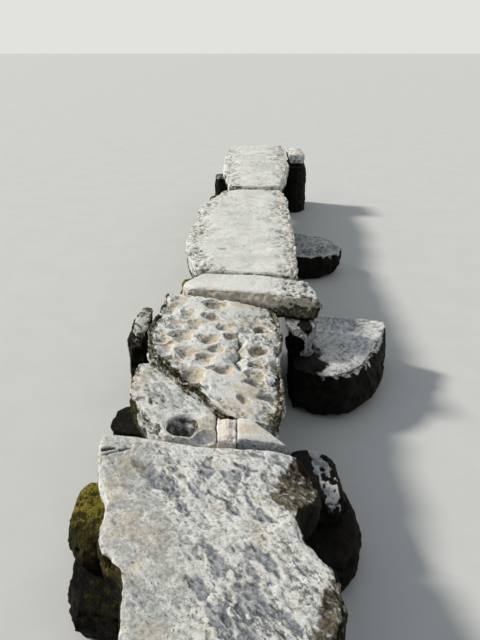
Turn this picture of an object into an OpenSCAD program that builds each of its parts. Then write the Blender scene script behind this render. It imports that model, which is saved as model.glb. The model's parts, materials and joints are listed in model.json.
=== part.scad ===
// Clapper footbridge: natural limestone slabs laid end to end on low dry stone piers.
// Lengths are in millimetres. +Y runs along the walkway, +X is the side of the two outlying boulders,
// and Z = 0 is the water line that every pier and abutment runs down to.

/* [Deck levels] */
// Height of the near slab's walking face above the water
near_top = 500; // [460:5:560]
// Height of the hollowed slab's walking face
hollowed_top = 540; // [500:5:600]
// Height of the mortar joint and the wedge stone
wedge_top = 545; // [510:5:600]
// Height of the pitted slab's walking face at its high side
pitted_top = 600; // [560:5:620]
// Height of the cross slab's walking face
cross_top = 620; // [590:5:680]
// Height of the far slab's walking face
far_top = 635; // [600:5:700]
// Height of the end slab's walking face
end_top = 665; // [630:5:730]

/* [Slab thickness] */
// Thickness of the near slab
near_t = 200; // [150:5:230]
// Thickness of the hollowed slab
hollowed_t = 195; // [150:5:240]
// Thickness of the wedge stone and the mortar beside it
wedge_t = 150; // [110:5:190]
// Thickness of the pitted slab at its high side
pitted_t = 275; // [235:5:300]
// Thickness of the cross slab
cross_t = 160; // [120:5:180]
// Thickness of the far slab
far_t = 170; // [130:5:210]
// Thickness of the end slab
end_t = 160; // [120:5:200]
// Thickness of the bank slab, which is bedded level with the end slab
bank_t = 135; // [100:5:170]

/* [Slab length along the walkway] */
// Length of the near slab
near_l = 2450; // [2300:10:2900]
// Length of the hollowed slab along its outer side
hollowed_l = 600; // [560:10:660]
// Length of the mortar joint and the wedge stone
wedge_l = 120; // [100:5:150]
// Length of the pitted slab
pitted_l = 1120; // [1060:10:1400]
// Length of the cross slab, front to back
cross_l = 275; // [240:5:330]
// Length of the far slab
far_l = 2060; // [1900:10:2500]
// Length of the end slab
end_l = 2050; // [1900:10:2500]
// Length of the bank slab
bank_l = 420; // [360:10:500]

/* [Slab width across the walkway] */
// Greatest width of the near slab
near_w = 880; // [820:5:920]
// Width of the hollowed slab at its near end
hollowed_w = 415; // [370:5:430]
// Width of the mortar joint
mortar_w = 66; // [50:2:80]
// Width of the wedge stone
wedge_w = 220; // [180:5:240]
// Greatest width of the pitted slab
pitted_w = 710; // [690:5:740]
// Width of the cross slab
cross_w = 825; // [780:5:860]
// Greatest width of the far slab
far_w = 800; // [760:5:860]
// Greatest width of the end slab
end_w = 700; // [660:5:760]
// Width of the bank slab
bank_w = 200; // [160:5:260]

/* [Line of the walkway] */
// Middle of the near slab; negative is left of the line of sight along the walkway
near_x = -125; // [-150:5:-110]
// Middle of the pitted slab
pitted_x = -125; // [-135:5:-115]
// Middle of the cross slab
cross_x = 45; // [20:5:60]
// Middle of the far slab
far_x = 20; // [0:5:40]
// Middle of the end slab
end_x = 170; // [150:5:200]
// Left side of the mortar joint
mortar_x0 = -85; // [-95:5:-75]

/* [Joints between slabs] */
// Open joint between two deck slabs
joint_gap = 14; // [10:1:24]
// Clearance between the mortar and the stones on both sides of it
mortar_gap = 3; // [1:0.5:5]
// How far a pier stone stays back from the joint above it
bearer_back = 40; // [30:5:60]
// Slant of the joint between the near slab and the next ones, in degrees
near_skew = 10; // [0:1:14]
// Slant of both long sides of the cross slab, in degrees
cross_skew = 11; // [0:1:14]
// Radius of the worn top edge of a slab
arris = 28; // [20:2:40]
// Radius of the worn edge at both ends of a slab
end_arris = 18; // [10:2:30]
// How far the flat bed under a slab stays in from its sides
bed_inset = 35; // [20:5:60]

/* [Worn faces] */
// Depth of the slow swell that a worn face has
swell_depth = 7; // [0:1:12]
// Fall of the near slab's face towards its right shoulder
shoulder_fall = 45; // [0:1:70]
// Depth of the long hollow near the far end of the near slab
trough_depth = 24; // [0:1:40]
// Depth of the deeper solution bowl
bowl_depth = 62; // [20:1:90]
// Radius of the deeper solution bowl
bowl_r = 72; // [40:1:90]
// Fall of the joint's stones to the near slab
lip_fall = 34; // [0:2:40]
// Depth of an ordinary pit in the pitted slab
pit_depth = 30; // [5:1:45]
// Radius of an ordinary pit in the pitted slab
pit_r = 46; // [25:1:60]
// Fall of the pitted slab's face from its left side to its right side
pitted_fall = 70; // [0:5:80]
// Rise of the pitted slab's face from its near end to its far end
pitted_rise = 35; // [0:5:50]
// Depth of the crack in the pitted slab
crack_depth = 22; // [0:1:40]

/* [Near pier] */
// Height of the near pier's foundation boulders
pier1_base_h = 170; // [130:5:200]
// Reach of the near pier to the left of the walkway's centre line
pier1_left = 680; // [640:10:760]
// Reach of the near pier to the right
pier1_right = 520; // [480:10:600]
// Reach of the near pier in front of the slab joint
pier1_near = 575; // [480:10:700]
// Reach of the near pier behind the slab joint
pier1_far = 585; // [560:10:640]
// Width of the mossy stone under the near slab's left edge
mossy_w = 265; // [220:5:300]
// Length of that mossy stone
mossy_l = 445; // [380:5:480]
// Width of the pale stone at the near slab's right corner
pale_w = 312; // [270:2:340]
// Length of that pale stone
pale_l = 440; // [380:5:480]

/* [Middle pier] */
// Height of the middle pier's foundation boulders
pier2_base_h = 200; // [150:5:240]
// Reach of the middle pier to the left
pier2_left = 630; // [600:10:680]
// Reach of the middle pier in front of the cross slab
pier2_near = 380; // [340:10:420]
// Reach of the middle pier behind the cross slab's front edge
pier2_far = 640; // [600:10:720]
// Height of the cutwater boulder
cutwater_h = 300; // [240:5:340]
// Width of the cutwater boulder across the walkway
cutwater_w = 660; // [600:10:760]
// Length of the cutwater boulder along the walkway
cutwater_l = 830; // [760:10:900]
// Clear water line between the pitted slab and the cutwater boulder
cutwater_gap = 40; // [30:2:60]
// Width of the block that stands against the pitted slab's left side
side_block_w = 160; // [120:5:180]
// Length of that side block
side_block_l = 480; // [400:10:520]
// How far its top stays under the pitted slab's walking face
side_block_drop = 90; // [70:5:120]
// Length of the upright stone between the cutwater boulder and the cross slab
upright_l = 335; // [280:5:380]

/* [Far pier] */
// Height of the far pier's foundation boulders
pier3_base_h = 230; // [180:5:270]
// Reach of the far pier to the left
pier3_left = 330; // [300:10:420]
// Reach of the far pier to the right
pier3_right = 390; // [370:10:460]
// Reach of the far pier in front of the slab joint
pier3_near = 250; // [230:10:320]
// Reach of the far pier behind the slab joint
pier3_far = 350; // [320:10:420]
// Height of the outlying boulder beside the far pier
outlying_h = 290; // [230:5:330]
// Width of the outlying boulder
outlying_w = 590; // [520:10:680]
// Length of the outlying boulder
outlying_l = 560; // [480:10:620]
// How far the outlying boulder reaches under the far slab's right side
outlying_tuck = 110; // [90:5:140]
// Width of the stone between the outlying boulder and the far slab
outlying_bearer_w = 155; // [130:5:180]

/* [Abutments] */
// Height of the abutments' foundation boulders
abutment_base_h = 180; // [140:5:210]
// Length of the near abutment along the walkway
near_abutment_l = 600; // [480:10:760]
// Width of the near abutment
near_abutment_w = 680; // [600:10:760]
// Length of the far abutment along the walkway
far_abutment_l = 770; // [700:10:900]
// Width of the far abutment under the end slab
far_abutment_w = 575; // [525:10:605]
// Width of the revetment stone in front of the far abutment
revetment_w = 250; // [200:10:300]
// Length of the revetment stone
revetment_l = 320; // [240:10:400]
// How far the bank slab ends before the end slab does
bank_back = 50; // [20:5:90]
// How far the end slabs run past their abutments
overhang = 40; // [10:5:80]
// Clearance between neighbouring pier stones
stone_gap = 12; // [6:1:20]

/* [Hidden] */

pale = "#c9c7bd";
cream = "#cdc3a8";
grey = "#8d8d84";
mossy = "#5f6040";
dark = "#4a463c";
lime = "#c2ab93";

// Undersides of the slabs, which are the levels of the beds that carry them
near_z = near_top - near_t;
hollowed_z = hollowed_top - hollowed_t;
wedge_z = wedge_top - wedge_t;
pitted_z = pitted_top - pitted_t;
cross_z = cross_top - cross_t;
far_z = far_top - far_t;
end_z = end_top - end_t;
bank_top = end_z + bank_t;

// Places of the slabs along the walkway, measured on its centre line
bridge_l = near_l + wedge_l + pitted_l + cross_l + far_l + end_l + 5 * joint_gap;
near_y0 = -bridge_l / 2;
near_y1 = near_y0 + near_l;
wedge_y0 = near_y1 + joint_gap;
wedge_y1 = wedge_y0 + wedge_l;
pitted_y0 = wedge_y1 + joint_gap;
pitted_y1 = pitted_y0 + pitted_l;
cross_y0 = pitted_y1 + joint_gap;
cross_y1 = cross_y0 + cross_l;
far_y0 = cross_y1 + joint_gap;
far_y1 = far_y0 + far_l;
end_y0 = far_y1 + joint_gap;
end_y1 = end_y0 + end_l;

// Sides of the slabs across the walkway
near_left = near_x - near_w / 2;
near_right = near_x + near_w / 2;
mortar_x1 = mortar_x0 + mortar_w;
wedge_x0 = mortar_x1 + mortar_gap;
hollowed_x1 = mortar_x0 - mortar_gap;
hollowed_left = hollowed_x1 - hollowed_w;
pitted_right = pitted_x + pitted_w / 2;
pitted_left = pitted_x - pitted_w / 2;
cross_right = cross_x + cross_w / 2;
far_left = far_x - far_w / 2;
far_right = far_x + far_w / 2;
end_left = end_x - end_w / 2;
end_right = end_x + end_w / 2;
bank_x = [end_right + joint_gap, end_right + joint_gap + bank_w];
bank_y = [end_y1 - bank_back - bank_l, end_y1 - bank_back];

// Slopes of the slanting joints, in length along for each length across
near_slope = -tan(near_skew);
cross_slope = -tan(cross_skew);

// Near pier: lines that part its stones across and along the walkway
pier1_x = [-pier1_left, -0.35 * pier1_left, 0.12 * pier1_right, pier1_right];
pier1_back_y = near_y1 + 0.35 * pier1_far;
mossy_x = span(near_left, -0.43 * mossy_w, 0.57 * mossy_w);
mossy_y = span(near_y1, -0.79 * mossy_l, 0.21 * mossy_l);
pale_x = span(near_right, -0.55 * pale_w, 0.45 * pale_w);
pale_y = span(near_y1, -0.34 * pale_l, 0.66 * pale_l);
packing_x1 = pale_x[0] - stone_gap;
packing_y = [near_y1 + near_slope * mortar_x0, pitted_y0 + near_slope * packing_x1];

// Middle pier: the line between its two foundations, and the stones on both sides of the deck
pier2_split = -0.29 * pier2_left;
pier2_back_y = cross_y0 + 0.53 * pier2_far;
cutwater_x = span(pitted_right, cutwater_gap, cutwater_gap + cutwater_w);
side_block_x = span(pitted_left, stone_gap - side_block_w, stone_gap);

// Far pier: its right foundation starts behind the outlying boulder
pier3_right_y = far_y1 - 0.32 * pier3_near;
pier3_split = -0.3 * pier3_left;
outlying_x = span(far_right, -outlying_tuck, outlying_w - outlying_tuck);
outlying_y = span(pier3_right_y, -3 * stone_gap - outlying_l, -3 * stone_gap);
outlying_bearer_x = span(far_right, -outlying_bearer_w - arris / 2, -arris / 2);

// The model's origin lies under the middle of its whole width
shift_x = (pier1_left - cutwater_x[1]) / 2;

// Joins rows of points into one closed solid. Each row runs anticlockwise seen from the last row.
module loft(rows) {
    n = len(rows);
    m = len(rows[0]);
    function middle(row) = [for (k = [0:2]) (min([for (p = row) p[k]]) + max([for (p = row) p[k]])) / 2];
    points = [for (row = rows) each row];
    first = n * m;
    skin = [
        for (i = [0:n - 2], j = [0:m - 1])
            let (a = i * m + j, b = i * m + (j + 1) % m)
            each [[a, a + m, b + m], [a, b + m, b]]
    ];
    near_cap = [for (j = [0:m - 1]) [first, j, (j + 1) % m]];
    far_cap = [for (j = [0:m - 1]) [first + 1, (n - 1) * m + (j + 1) % m, (n - 1) * m + j]];
    polyhedron(concat(points, [middle(rows[0]), middle(rows[n - 1])]), concat(skin, near_cap, far_cap));
}

// Low and high end of a stretch that starts and stops at these distances from a place
function span(place, low, high) = [place + low, place + high];

// Fall of a round dish from 1 at its middle to 0 at its rim
function dish(d) = d >= 1 ? 0 : pow(1 - d * d, 2);

// Depth of the deepest pit at one place; a pit is [x, y, radius across, radius along, depth]
function pits_at(x, y, pits) =
    max([for (p = pits) p[4] * dish(norm([(x - p[0]) / p[2], (y - p[1]) / p[3]]))]);

// Slow swell of a worn face, always downwards
function swell(x, y, seed) =
    swell_depth * (2 + sin(0.7 * x + 0.31 * y + seed) + sin(0.9 * y - 0.5 * x + 2.3 * seed)) / 2;

// Drop of a top edge worn round with radius r, at a distance in from the edge
function edge_drop(d, r) = d >= r ? 0 : r - sqrt(max(0, 2 * r * d - d * d));

// Shares across a slab, closer together at both edges
function columns(n) =
    concat([0, 0.015, 0.055], [for (i = [1:n - 1]) 0.055 + 0.89 * i / n], [0.945, 0.985, 1]);

// Shares along a slab, closer together at both ends
function stations(n, l) =
    let (rim = end_arris / l)
    concat([0, rim / 4, rim], [for (i = [1:n - 1]) rim + (1 - 2 * rim) * i / n], [1 - rim, 1 - rim / 4, 1]);

// Side of a slab at a share of its length, from a list of [share, left, right]
function side(sides, v, k) = lookup(v, [for (s = sides) [s[0], s[k]]]);

// One natural slab: cross-sections that are flat underneath, bellied at the sides and worn at the top edge.
// left and right give the sides at a share of the length; near and far are [place, slope] of the two ends;
// hollow gives the depth of the face below its plane at (x, y).
module slab(left, right, near, far, z0, z1, along, across, hollow) {
    function y_at(x, v) = near[0] + near[1] * x + v * (far[0] + far[1] * x - near[0] - near[1] * x);
    function z_at(x, v, dx) =
        let (y = y_at(x, v), dy = min(y - y_at(x, 0), y_at(x, 1) - y))
        z1 - max(edge_drop(dx, arris), edge_drop(dy, end_arris)) - hollow(x, y);
    loft([
        for (v = along)
            let (
                xl = left(v),
                xr = right(v),
                w = xr - xl,
                inset = min(bed_inset, w / 4),
                zl = z_at(xl, v, 0) - z0,
                zr = z_at(xr, v, 0) - z0,
                bed = [for (x = [xr - inset, (xl + xr) / 2, xl + inset]) [x, y_at(x, v), z0]],
                rise = [for (s = [[0.35, 0.25], [0, 0.6]])
                    let (x = xl + s[0] * inset) [x, y_at(x, v), z0 + s[1] * zl]],
                top = [for (u = across)
                    let (x = xl + u * w, dx = min(x - xl, xr - x)) [x, y_at(x, v), z_at(x, v, dx)]],
                fall = [for (s = [[0, 0.6], [0.35, 0.25]])
                    let (x = xr - s[0] * inset) [x, y_at(x, v), z0 + s[1] * zr]]
            )
            concat(bed, rise, top, fall)
    ]);
}

// Outline of a worn block in the unit square, with a few lumps that seed turns round
function block_outline(seed, n = 16) = [
    for (i = [0:n - 1])
        let (
            a = 360 * (i + 0.5) / n,
            r = pow(pow(abs(cos(a)), 3.4) + pow(abs(sin(a)), 3.4), -1 / 3.4),
            lump = 1 - 0.05 * (1 + sin(3 * a + 97 * seed)) - 0.035 * (1 + sin(5 * a + 41 * seed))
        )
        [r * lump * cos(a), r * lump * sin(a)]
];

// One pier stone inside the box x, y, z, each [low, high], with a flat bed on top and a flat foot.
// crown and foot are the shares of its width that the bed and the foot keep; lean moves the narrower
// levels towards one side. brow is the outline that the bed has, where it isn't the foot's.
module stone(x, y, z, seed, crown = 0.84, foot = 0.9, lean = [0, 0], outline = undef, brow = undef) {
    shape = is_undef(outline) ? block_outline(seed) : outline;
    bed = is_undef(brow) ? shape : brow;
    levels = [
        [0, foot], [0.16, (foot + 1.6) / 2.6], [0.42, 1], [0.74, 0.98], [0.92, (crown + 1) / 2], [1, crown]
    ];
    half = [x[1] - x[0], y[1] - y[0]] / 2;
    loft([
        for (level = levels)
            let (
                k = level[1],
                turn = 2.5 * sin(360 * level[0] + 53 * seed),
                cx = (x[0] + x[1]) / 2 + lean[0] * (1 - k) * half[0],
                cy = (y[0] + y[1]) / 2 + lean[1] * (1 - k) * half[1]
            )
            [for (i = [0:len(shape) - 1])
                let (
                    p = shape[i] + (bed[i] - shape[i]) * pow(level[0], 2),
                    px = k * (p[0] * cos(turn) - p[1] * sin(turn)),
                    py = k * (p[1] * cos(turn) + p[0] * sin(turn))
                )
                [
                    cx + half[0] * max(-k, min(k, px)),
                    cy + half[1] * max(-k, min(k, py)),
                    z[0] + (z[1] - z[0]) * level[0]
                ]]
    ]);
}

// Places a sub-part in the model's own frame
module place(tint) {
    color(tint) translate([shift_x, 0, 0]) children();
}

// Deck slabs

near_sides = [
    [0, -0.4, 0.81], [0.07, -0.47, 0.9], [0.32, -0.5, 0.95], [0.6, -0.48, 0.9], [0.65, -0.5, 0.91],
    [0.67, -0.51, 0.93], [0.69, -0.525, 0.98], [0.715, -0.54, 1], [0.73, -0.56, 0.96], [0.745, -0.7, 0.98],
    [0.757, -0.75, 0.99], [0.77, -0.78, 0.955], [0.782, -0.79, 0.88], [0.797, -0.8, 0.83],
    [0.815, -0.775, 0.78], [0.838, -0.777, 0.75], [0.86, -0.81, 0.748], [0.875, -0.86, 0.79],
    [0.885, -0.89, 0.89], [0.91, -0.94, 0.96], [0.94, -0.97, 0.967], [0.967, -1, 0.905],
    [0.99, -0.99, 0.85], [1, -0.975, 0.82]
];
// Shares along the near slab, close together where its sides step in and out
near_stations = concat(
    [0, end_arris / near_l / 4, end_arris / near_l],
    [for (i = [1:6]) 0.105 * i],
    [for (v = [0.66:0.0175:0.985]) v],
    [1 - end_arris / near_l, 1 - end_arris / near_l / 4, 1]
);
near_pits = [
    for (p = [[-0.58, 0.935, 0.75], [-0.45, 0.905, 1], [-0.3, 0.88, 0.8], [0.1, 0.9, 0.5], [0.45, 0.83, 0.5],
        [0, 0.7, 0.5], [0.5, 0.55, 0.6], [-0.1, 0.42, 0.6], [0.4, 0.22, 0.5]])
        [near_x + p[0] * near_w / 2, near_y0 + p[1] * near_l, 75, 95, p[2] * trough_depth]
];
// The right shoulder falls away like one side of a wide dish
shoulder_pit = [near_right, near_y0 + 0.925 * near_l, 0.2 * near_w, 0.09 * near_l, shoulder_fall];

module near_slab() {
    place(pale) slab(
        function (v) near_x + near_w / 2 * side(near_sides, v, 1),
        function (v) near_x + near_w / 2 * side(near_sides, v, 2),
        [near_y0, 0], [near_y1, near_slope], near_z, near_top,
        near_stations, columns(14),
        function (x, y) swell(x, y, 10) + max(pits_at(x, y, near_pits), pits_at(x, y, [shoulder_pit]))
    );
}

// The slanting joint between the hollowed slab and the pitted slab runs from the mortar to the left side
diagonal_x = mortar_x0 + 3 * mortar_gap;
diagonal_y = pitted_y0 + near_slope * diagonal_x;
diagonal_slope = -0.72;

// Place of that joint across the walkway, on the line y = p + q * x
function diagonal_at(p, q) = (diagonal_x + diagonal_slope * (p - diagonal_y)) / (1 - diagonal_slope * q);

// Fall of a face that slopes down to the near slab over a length l
function lip_at(x, y, l) = lip_fall * pow(max(0, 1 - (y - wedge_y0 - near_slope * x) / l), 2);

hollowed_far = wedge_y0 + hollowed_l;
hollowed_sides = [[0, 0.52], [0.18, 0.8], [0.45, 0.97], [0.72, 1], [1, 0.97]];
// Bowls as [share across from the mortar, share along, radius across, radius along, depth] of the deep bowl
bowl_places = [
    [0.35, 0.17, 1, 0.8, 1], [0.15, 0.06, 1.1, 0.9, 0.6], [0.72, 0.22, 0.4, 0.6, 0.4],
    [0.82, 0.4, 0.4, 0.5, 0.35], [0.86, 0.6, 0.5, 0.5, 0.35]
];
bowl_pits = [
    for (p = bowl_places)
        [
            hollowed_x1 - p[0] * hollowed_w, wedge_y0 + p[1] * hollowed_l,
            bowl_r * p[2], bowl_r * p[3], bowl_depth * p[4]
        ]
];

module hollowed_slab() {
    place(pale) slab(
        function (v) hollowed_x1 - hollowed_w * lookup(v, hollowed_sides),
        function (v) min(
            hollowed_x1,
            diagonal_at(wedge_y0 + v * hollowed_l, near_slope * (1 - v)) - joint_gap / 2
        ),
        [wedge_y0, near_slope], [hollowed_far, 0], hollowed_z, hollowed_top,
        stations(20, hollowed_l), columns(14),
        function (x, y) swell(x, y, 55) / 2 + lip_at(x, y, 0.3 * hollowed_l) + pits_at(x, y, bowl_pits)
    );
}

module mortar_joint() {
    place(lime) slab(
        function (v) mortar_x0,
        function (v) mortar_x1,
        [wedge_y0, near_slope], [wedge_y1, near_slope], wedge_z, wedge_top - 12,
        stations(4, wedge_l), columns(2),
        function (x, y) 0.7 * lip_at(x, y, wedge_l)
    );
}

module wedge_stone() {
    place(cream) slab(
        function (v) wedge_x0,
        function (v) wedge_x0 + wedge_w * (1 - 0.7 * pow(v, 0.8)),
        [wedge_y0, near_slope], [wedge_y1, near_slope], wedge_z, wedge_top,
        stations(5, wedge_l), columns(5),
        function (x, y) 8 * pow((x - wedge_x0) / wedge_w, 2) + 0.85 * lip_at(x, y, wedge_l)
    );
}

pitted_sides = [
    [0, -1, 0.8], [0.09, -0.99, 0.845], [0.13, -0.98, 0.88], [0.22, -0.97, 0.935], [0.32, -0.965, 0.955],
    [0.42, -0.96, 0.94], [0.48, -0.93, 0.93], [0.53, -0.975, 0.925], [0.575, -1, 0.94], [0.63, -0.975, 0.96],
    [0.7, -0.94, 0.985], [0.75, -0.935, 1], [0.88, -0.885, 1], [0.95, -0.87, 0.97], [1, -0.865, 0.92]
];
// Pits as [share across, share along, size]
pit_places = [
    [-0.57, 0.7, 1.15], [-0.74, 0.57, 1], [-0.45, 0.58, 1.1], [-0.68, 0.46, 0.95], [-0.37, 0.43, 1.2],
    [-0.1, 0.57, 1], [0.03, 0.49, 0.8], [-0.13, 0.4, 1], [-0.28, 0.28, 1.5], [0.13, 0.33, 1.1],
    [0.45, 0.71, 0.8], [0.68, 0.75, 1], [-0.72, 0.86, 1.1], [-0.6, 0.93, 0.9], [-0.03, 0.93, 1.4],
    [-0.05, 0.8, 0.8], [-0.3, 0.7, 0.9], [0.24, 0.62, 0.8], [0.65, 0.54, 1], [0.82, 0.43, 0.9],
    [0.6, 0.41, 0.9], [0.56, 0.27, 1], [0.72, 0.19, 1], [-0.55, 0.35, 0.8], [0.83, 0.63, 0.8],
    [-0.42, 0.8, 0.9], [0.4, 0.14, 0.7], [0.58, 0.34, 0.8], [0.1, 0.7, 0.9]
];
pitted_pits = [
    for (p = pit_places)
        [
            pitted_x + p[0] * pitted_w / 2, pitted_y0 + p[1] * pitted_l,
            pit_r * p[2], 0.85 * pit_r * p[2], pit_depth * p[2]
        ]
];
crack_x = pitted_x + 0.17 * pitted_w;
crack_y = [pitted_y0 + 0.36 * pitted_l, pitted_y0 + 0.66 * pitted_l];

// Depth of the crack, which wanders a little from side to side
function crack_at(x, y) =
    y < crack_y[0] || y > crack_y[1] ? 0 : crack_depth * dish(abs(x - crack_x - 8 * sin(3 * y)) / 26);

module pitted_slab() {
    place(pale) slab(
        function (v) max(
            pitted_x + pitted_w / 2 * side(pitted_sides, v, 1),
            diagonal_at(pitted_y0 + v * pitted_l, near_slope + v * (cross_slope - near_slope))
                + joint_gap / 2
        ),
        function (v) pitted_x + pitted_w / 2 * side(pitted_sides, v, 2),
        [pitted_y0, near_slope], [pitted_y1, cross_slope], pitted_z, pitted_top,
        stations(36, pitted_l), columns(22),
        function (x, y) pitted_fall * pow((x - pitted_left) / pitted_w, 2)
            + pitted_rise * min(1, max(0, (pitted_y1 - y) / pitted_l)) + swell(x, y, 120) / 2
            + max(pits_at(x, y, pitted_pits), crack_at(x, y))
    );
}

cross_sides = [[0, -0.85, 1], [0.3, -0.96, 0.98], [0.6, -0.84, 0.96], [1, -0.65, 0.88]];

module cross_slab() {
    place(cream) slab(
        function (v) cross_x + cross_w / 2 * side(cross_sides, v, 1),
        function (v) cross_x + cross_w / 2 * side(cross_sides, v, 2),
        [cross_y0, cross_slope], [cross_y1, cross_slope], cross_z, cross_top,
        stations(5, cross_l), columns(14),
        function (x, y) swell(x, y, 200) / 2 + 14 * pow((x - cross_x) / cross_w * 2, 2)
    );
}

far_sides = [
    [0, -0.76, 0.78], [0.05, -0.82, 0.87], [0.1, -0.9, 0.88], [0.2, -0.98, 0.9], [0.3, -1, 0.92],
    [0.42, -0.97, 0.95], [0.55, -0.92, 0.93], [0.62, -0.85, 0.95], [0.7, -0.92, 0.95], [0.78, -0.83, 0.97],
    [0.86, -0.68, 1], [0.93, -0.55, 0.94], [1, -0.42, 0.9]
];
far_pits = [
    for (p = [[0.2, 0.2, 0.5], [-0.5, 0.4, 0.4], [0.5, 0.55, 0.35], [-0.2, 0.75, 0.4]])
        [far_x + p[0] * far_w / 2, far_y0 + p[1] * far_l, 90, 150, p[2] * trough_depth]
];

module far_slab() {
    place(pale) slab(
        function (v) far_x + far_w / 2 * side(far_sides, v, 1),
        function (v) far_x + far_w / 2 * side(far_sides, v, 2),
        [far_y0, cross_slope], [far_y1, 0], far_z, far_top,
        stations(16, far_l), columns(10),
        function (x, y) swell(x, y, 30) + pits_at(x, y, far_pits)
    );
}

end_sides = [
    [0, -0.8, 0.58], [0.08, -0.82, 0.66], [0.18, -0.86, 0.78], [0.3, -0.96, 0.86], [0.45, -1, 0.97],
    [0.6, -0.98, 0.95], [0.75, -0.95, 0.93], [0.9, -0.9, 0.97], [0.97, -0.8, 0.99], [1, -0.62, 0.9]
];
end_pits = [
    for (p = [[0, 0.15, 0.5], [0.4, 0.5, 0.4], [-0.4, 0.7, 0.5]])
        [end_x + p[0] * end_w / 2, end_y0 + p[1] * end_l, 90, 160, p[2] * trough_depth]
];

module end_slab() {
    place(pale) slab(
        function (v) end_x + end_w / 2 * side(end_sides, v, 1),
        function (v) end_x + end_w / 2 * side(end_sides, v, 2),
        [end_y0, 0], [end_y1, 0], end_z, end_top,
        stations(13, end_l), columns(9),
        function (x, y) swell(x, y, 40) + pits_at(x, y, end_pits)
    );
}

module bank_slab() {
    place(pale) slab(
        function (v) bank_x[0],
        function (v) bank_x[1] - 0.1 * bank_w * pow(v, 2),
        [bank_y[0], 0], [bank_y[1], 0], end_z, bank_top,
        stations(4, bank_l), columns(4),
        function (x, y) swell(x, y, 50) / 2
    );
}

// Near abutment

near_abutment_mid = near_x + 0.12 * near_w;
near_abutment_x = span(near_abutment_mid, -near_abutment_w / 2, near_abutment_w / 2);
near_abutment_y = span(near_y0, overhang, overhang + near_abutment_l);

module near_abutment_left() {
    place(dark) stone(
        [near_abutment_x[0], near_abutment_mid - stone_gap / 2], near_abutment_y, [0, abutment_base_h], 1
    );
}

module near_abutment_right() {
    place(dark) stone(
        [near_abutment_mid + stone_gap / 2, near_abutment_x[1]], near_abutment_y, [0, abutment_base_h], 2
    );
}

module near_abutment_cap() {
    place(grey) stone(
        near_abutment_x + [0.09, -0.12] * near_abutment_w, near_abutment_y + [0, -0.15] * near_abutment_l,
        [abutment_base_h, near_z], 3, crown = 0.9
    );
}

module near_abutment_toe() {
    place(dark) stone(
        near_abutment_x + [0.19, -0.16] * near_abutment_w,
        span(near_abutment_y[1], stone_gap, stone_gap + 0.35 * near_abutment_l), [0, near_z], 4
    );
}

// Near pier, under the joint between the near slab and the next ones

module pier1_left_boulder() {
    place(mossy) stone(
        [pier1_x[0], pier1_x[1] - stone_gap], [near_y1 - pier1_near, pier1_back_y], [0, pier1_base_h], 5,
        crown = 0.86, lean = [0.6, 0.2]
    );
}

module pier1_core() {
    place(dark) stone(
        [pier1_x[1], pier1_x[2] - stone_gap], span(near_y1, -0.74 * pier1_near, 0.74 * pier1_far),
        [0, pier1_base_h], 6, crown = 0.92
    );
}

module pier1_right_boulder() {
    place(dark) stone(
        [pier1_x[2], pier1_x[3]], span(near_y1, -0.65 * pier1_near, 0.66 * pier1_far),
        [0, pier1_base_h], 7, crown = 0.86, lean = [-0.6, 0]
    );
}

module pier1_back_stone() {
    place(mossy) stone(
        [0.9 * pier1_x[0], pier1_x[1] - stone_gap], [pier1_back_y + 4 * stone_gap, near_y1 + pier1_far],
        [0, hollowed_z], 8, crown = 0.84, lean = [-0.6, -0.3]
    );
}

module pier1_mossy_stone() {
    place(mossy) stone(mossy_x, mossy_y, [pier1_base_h, near_z], 9, crown = 0.8, lean = [0.4, 0]);
}

module pier1_near_bearer() {
    place(grey) stone(
        [mossy_x[1] + stone_gap, packing_x1],
        [near_y1 - 0.52 * pier1_near, near_y1 + near_slope * packing_x1 - bearer_back],
        [pier1_base_h, near_z], 10, crown = 0.92
    );
}

module pier1_pale_stone() {
    place(pale) stone(pale_x, pale_y, [pier1_base_h, near_z], 11, crown = 0.78, lean = [-0.3, 0]);
}

module pier1_hollowed_bearer() {
    place(mossy) stone(
        [hollowed_left, near_x - stone_gap], [mossy_y[1] + stone_gap, pier1_back_y + 3 * stone_gap],
        [pier1_base_h, hollowed_z], 12, crown = 0.92
    );
}

module pier1_wedge_packing() {
    place(dark) stone(
        [mortar_x0, packing_x1], packing_y, [pier1_base_h, wedge_z], 13, crown = 0.92, foot = 0.94
    );
}

module pier1_pitted_bearer() {
    place(dark) stone(
        [near_x, packing_x1], [packing_y[1] + stone_gap, near_y1 + 0.7 * pier1_far],
        [pier1_base_h, pitted_z], 14, crown = 0.92
    );
}

// Middle pier, under the cross slab

cutwater_outline = [
    [-0.95, -0.75], [-0.55, -0.95], [-0.1, -0.98], [0.25, -0.85], [0.55, -0.55], [0.82, -0.12], [0.97, 0.3],
    [1, 0.7], [0.9, 0.93], [0.3, 0.93], [-0.25, 1], [-0.65, 0.85], [-0.96, 0.45], [-1, -0.1]
];
// The bed runs out to a sharp corner on the right, with a straight slanting brow in front
cutwater_brow = [
    [-0.95, -0.8], [-0.62, -0.99], [-0.3, -1], [-0.05, -0.9], [0.28, -0.65], [0.68, 0], [0.88, 0.36],
    [1, 0.6], [0.97, 0.72], [0.5, 0.82], [-0.25, 0.95], [-0.65, 0.85], [-0.96, 0.45], [-1, -0.1]
];

module cutwater_boulder() {
    place(dark) stone(
        cutwater_x, span(cross_y0, -cutwater_l / 2, cutwater_l / 2), [0, cutwater_h], 0,
        crown = 0.96, foot = 0.9, lean = [-1, 0.3], outline = cutwater_outline, brow = cutwater_brow
    );
}

module upright_stone() {
    place(grey) stone(
        [pitted_right + stone_gap, cross_right - stone_gap],
        span(cross_y0, -0.64 * upright_l, 0.36 * upright_l),
        [cutwater_h, cross_z], 16, crown = 0.86
    );
}

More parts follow.
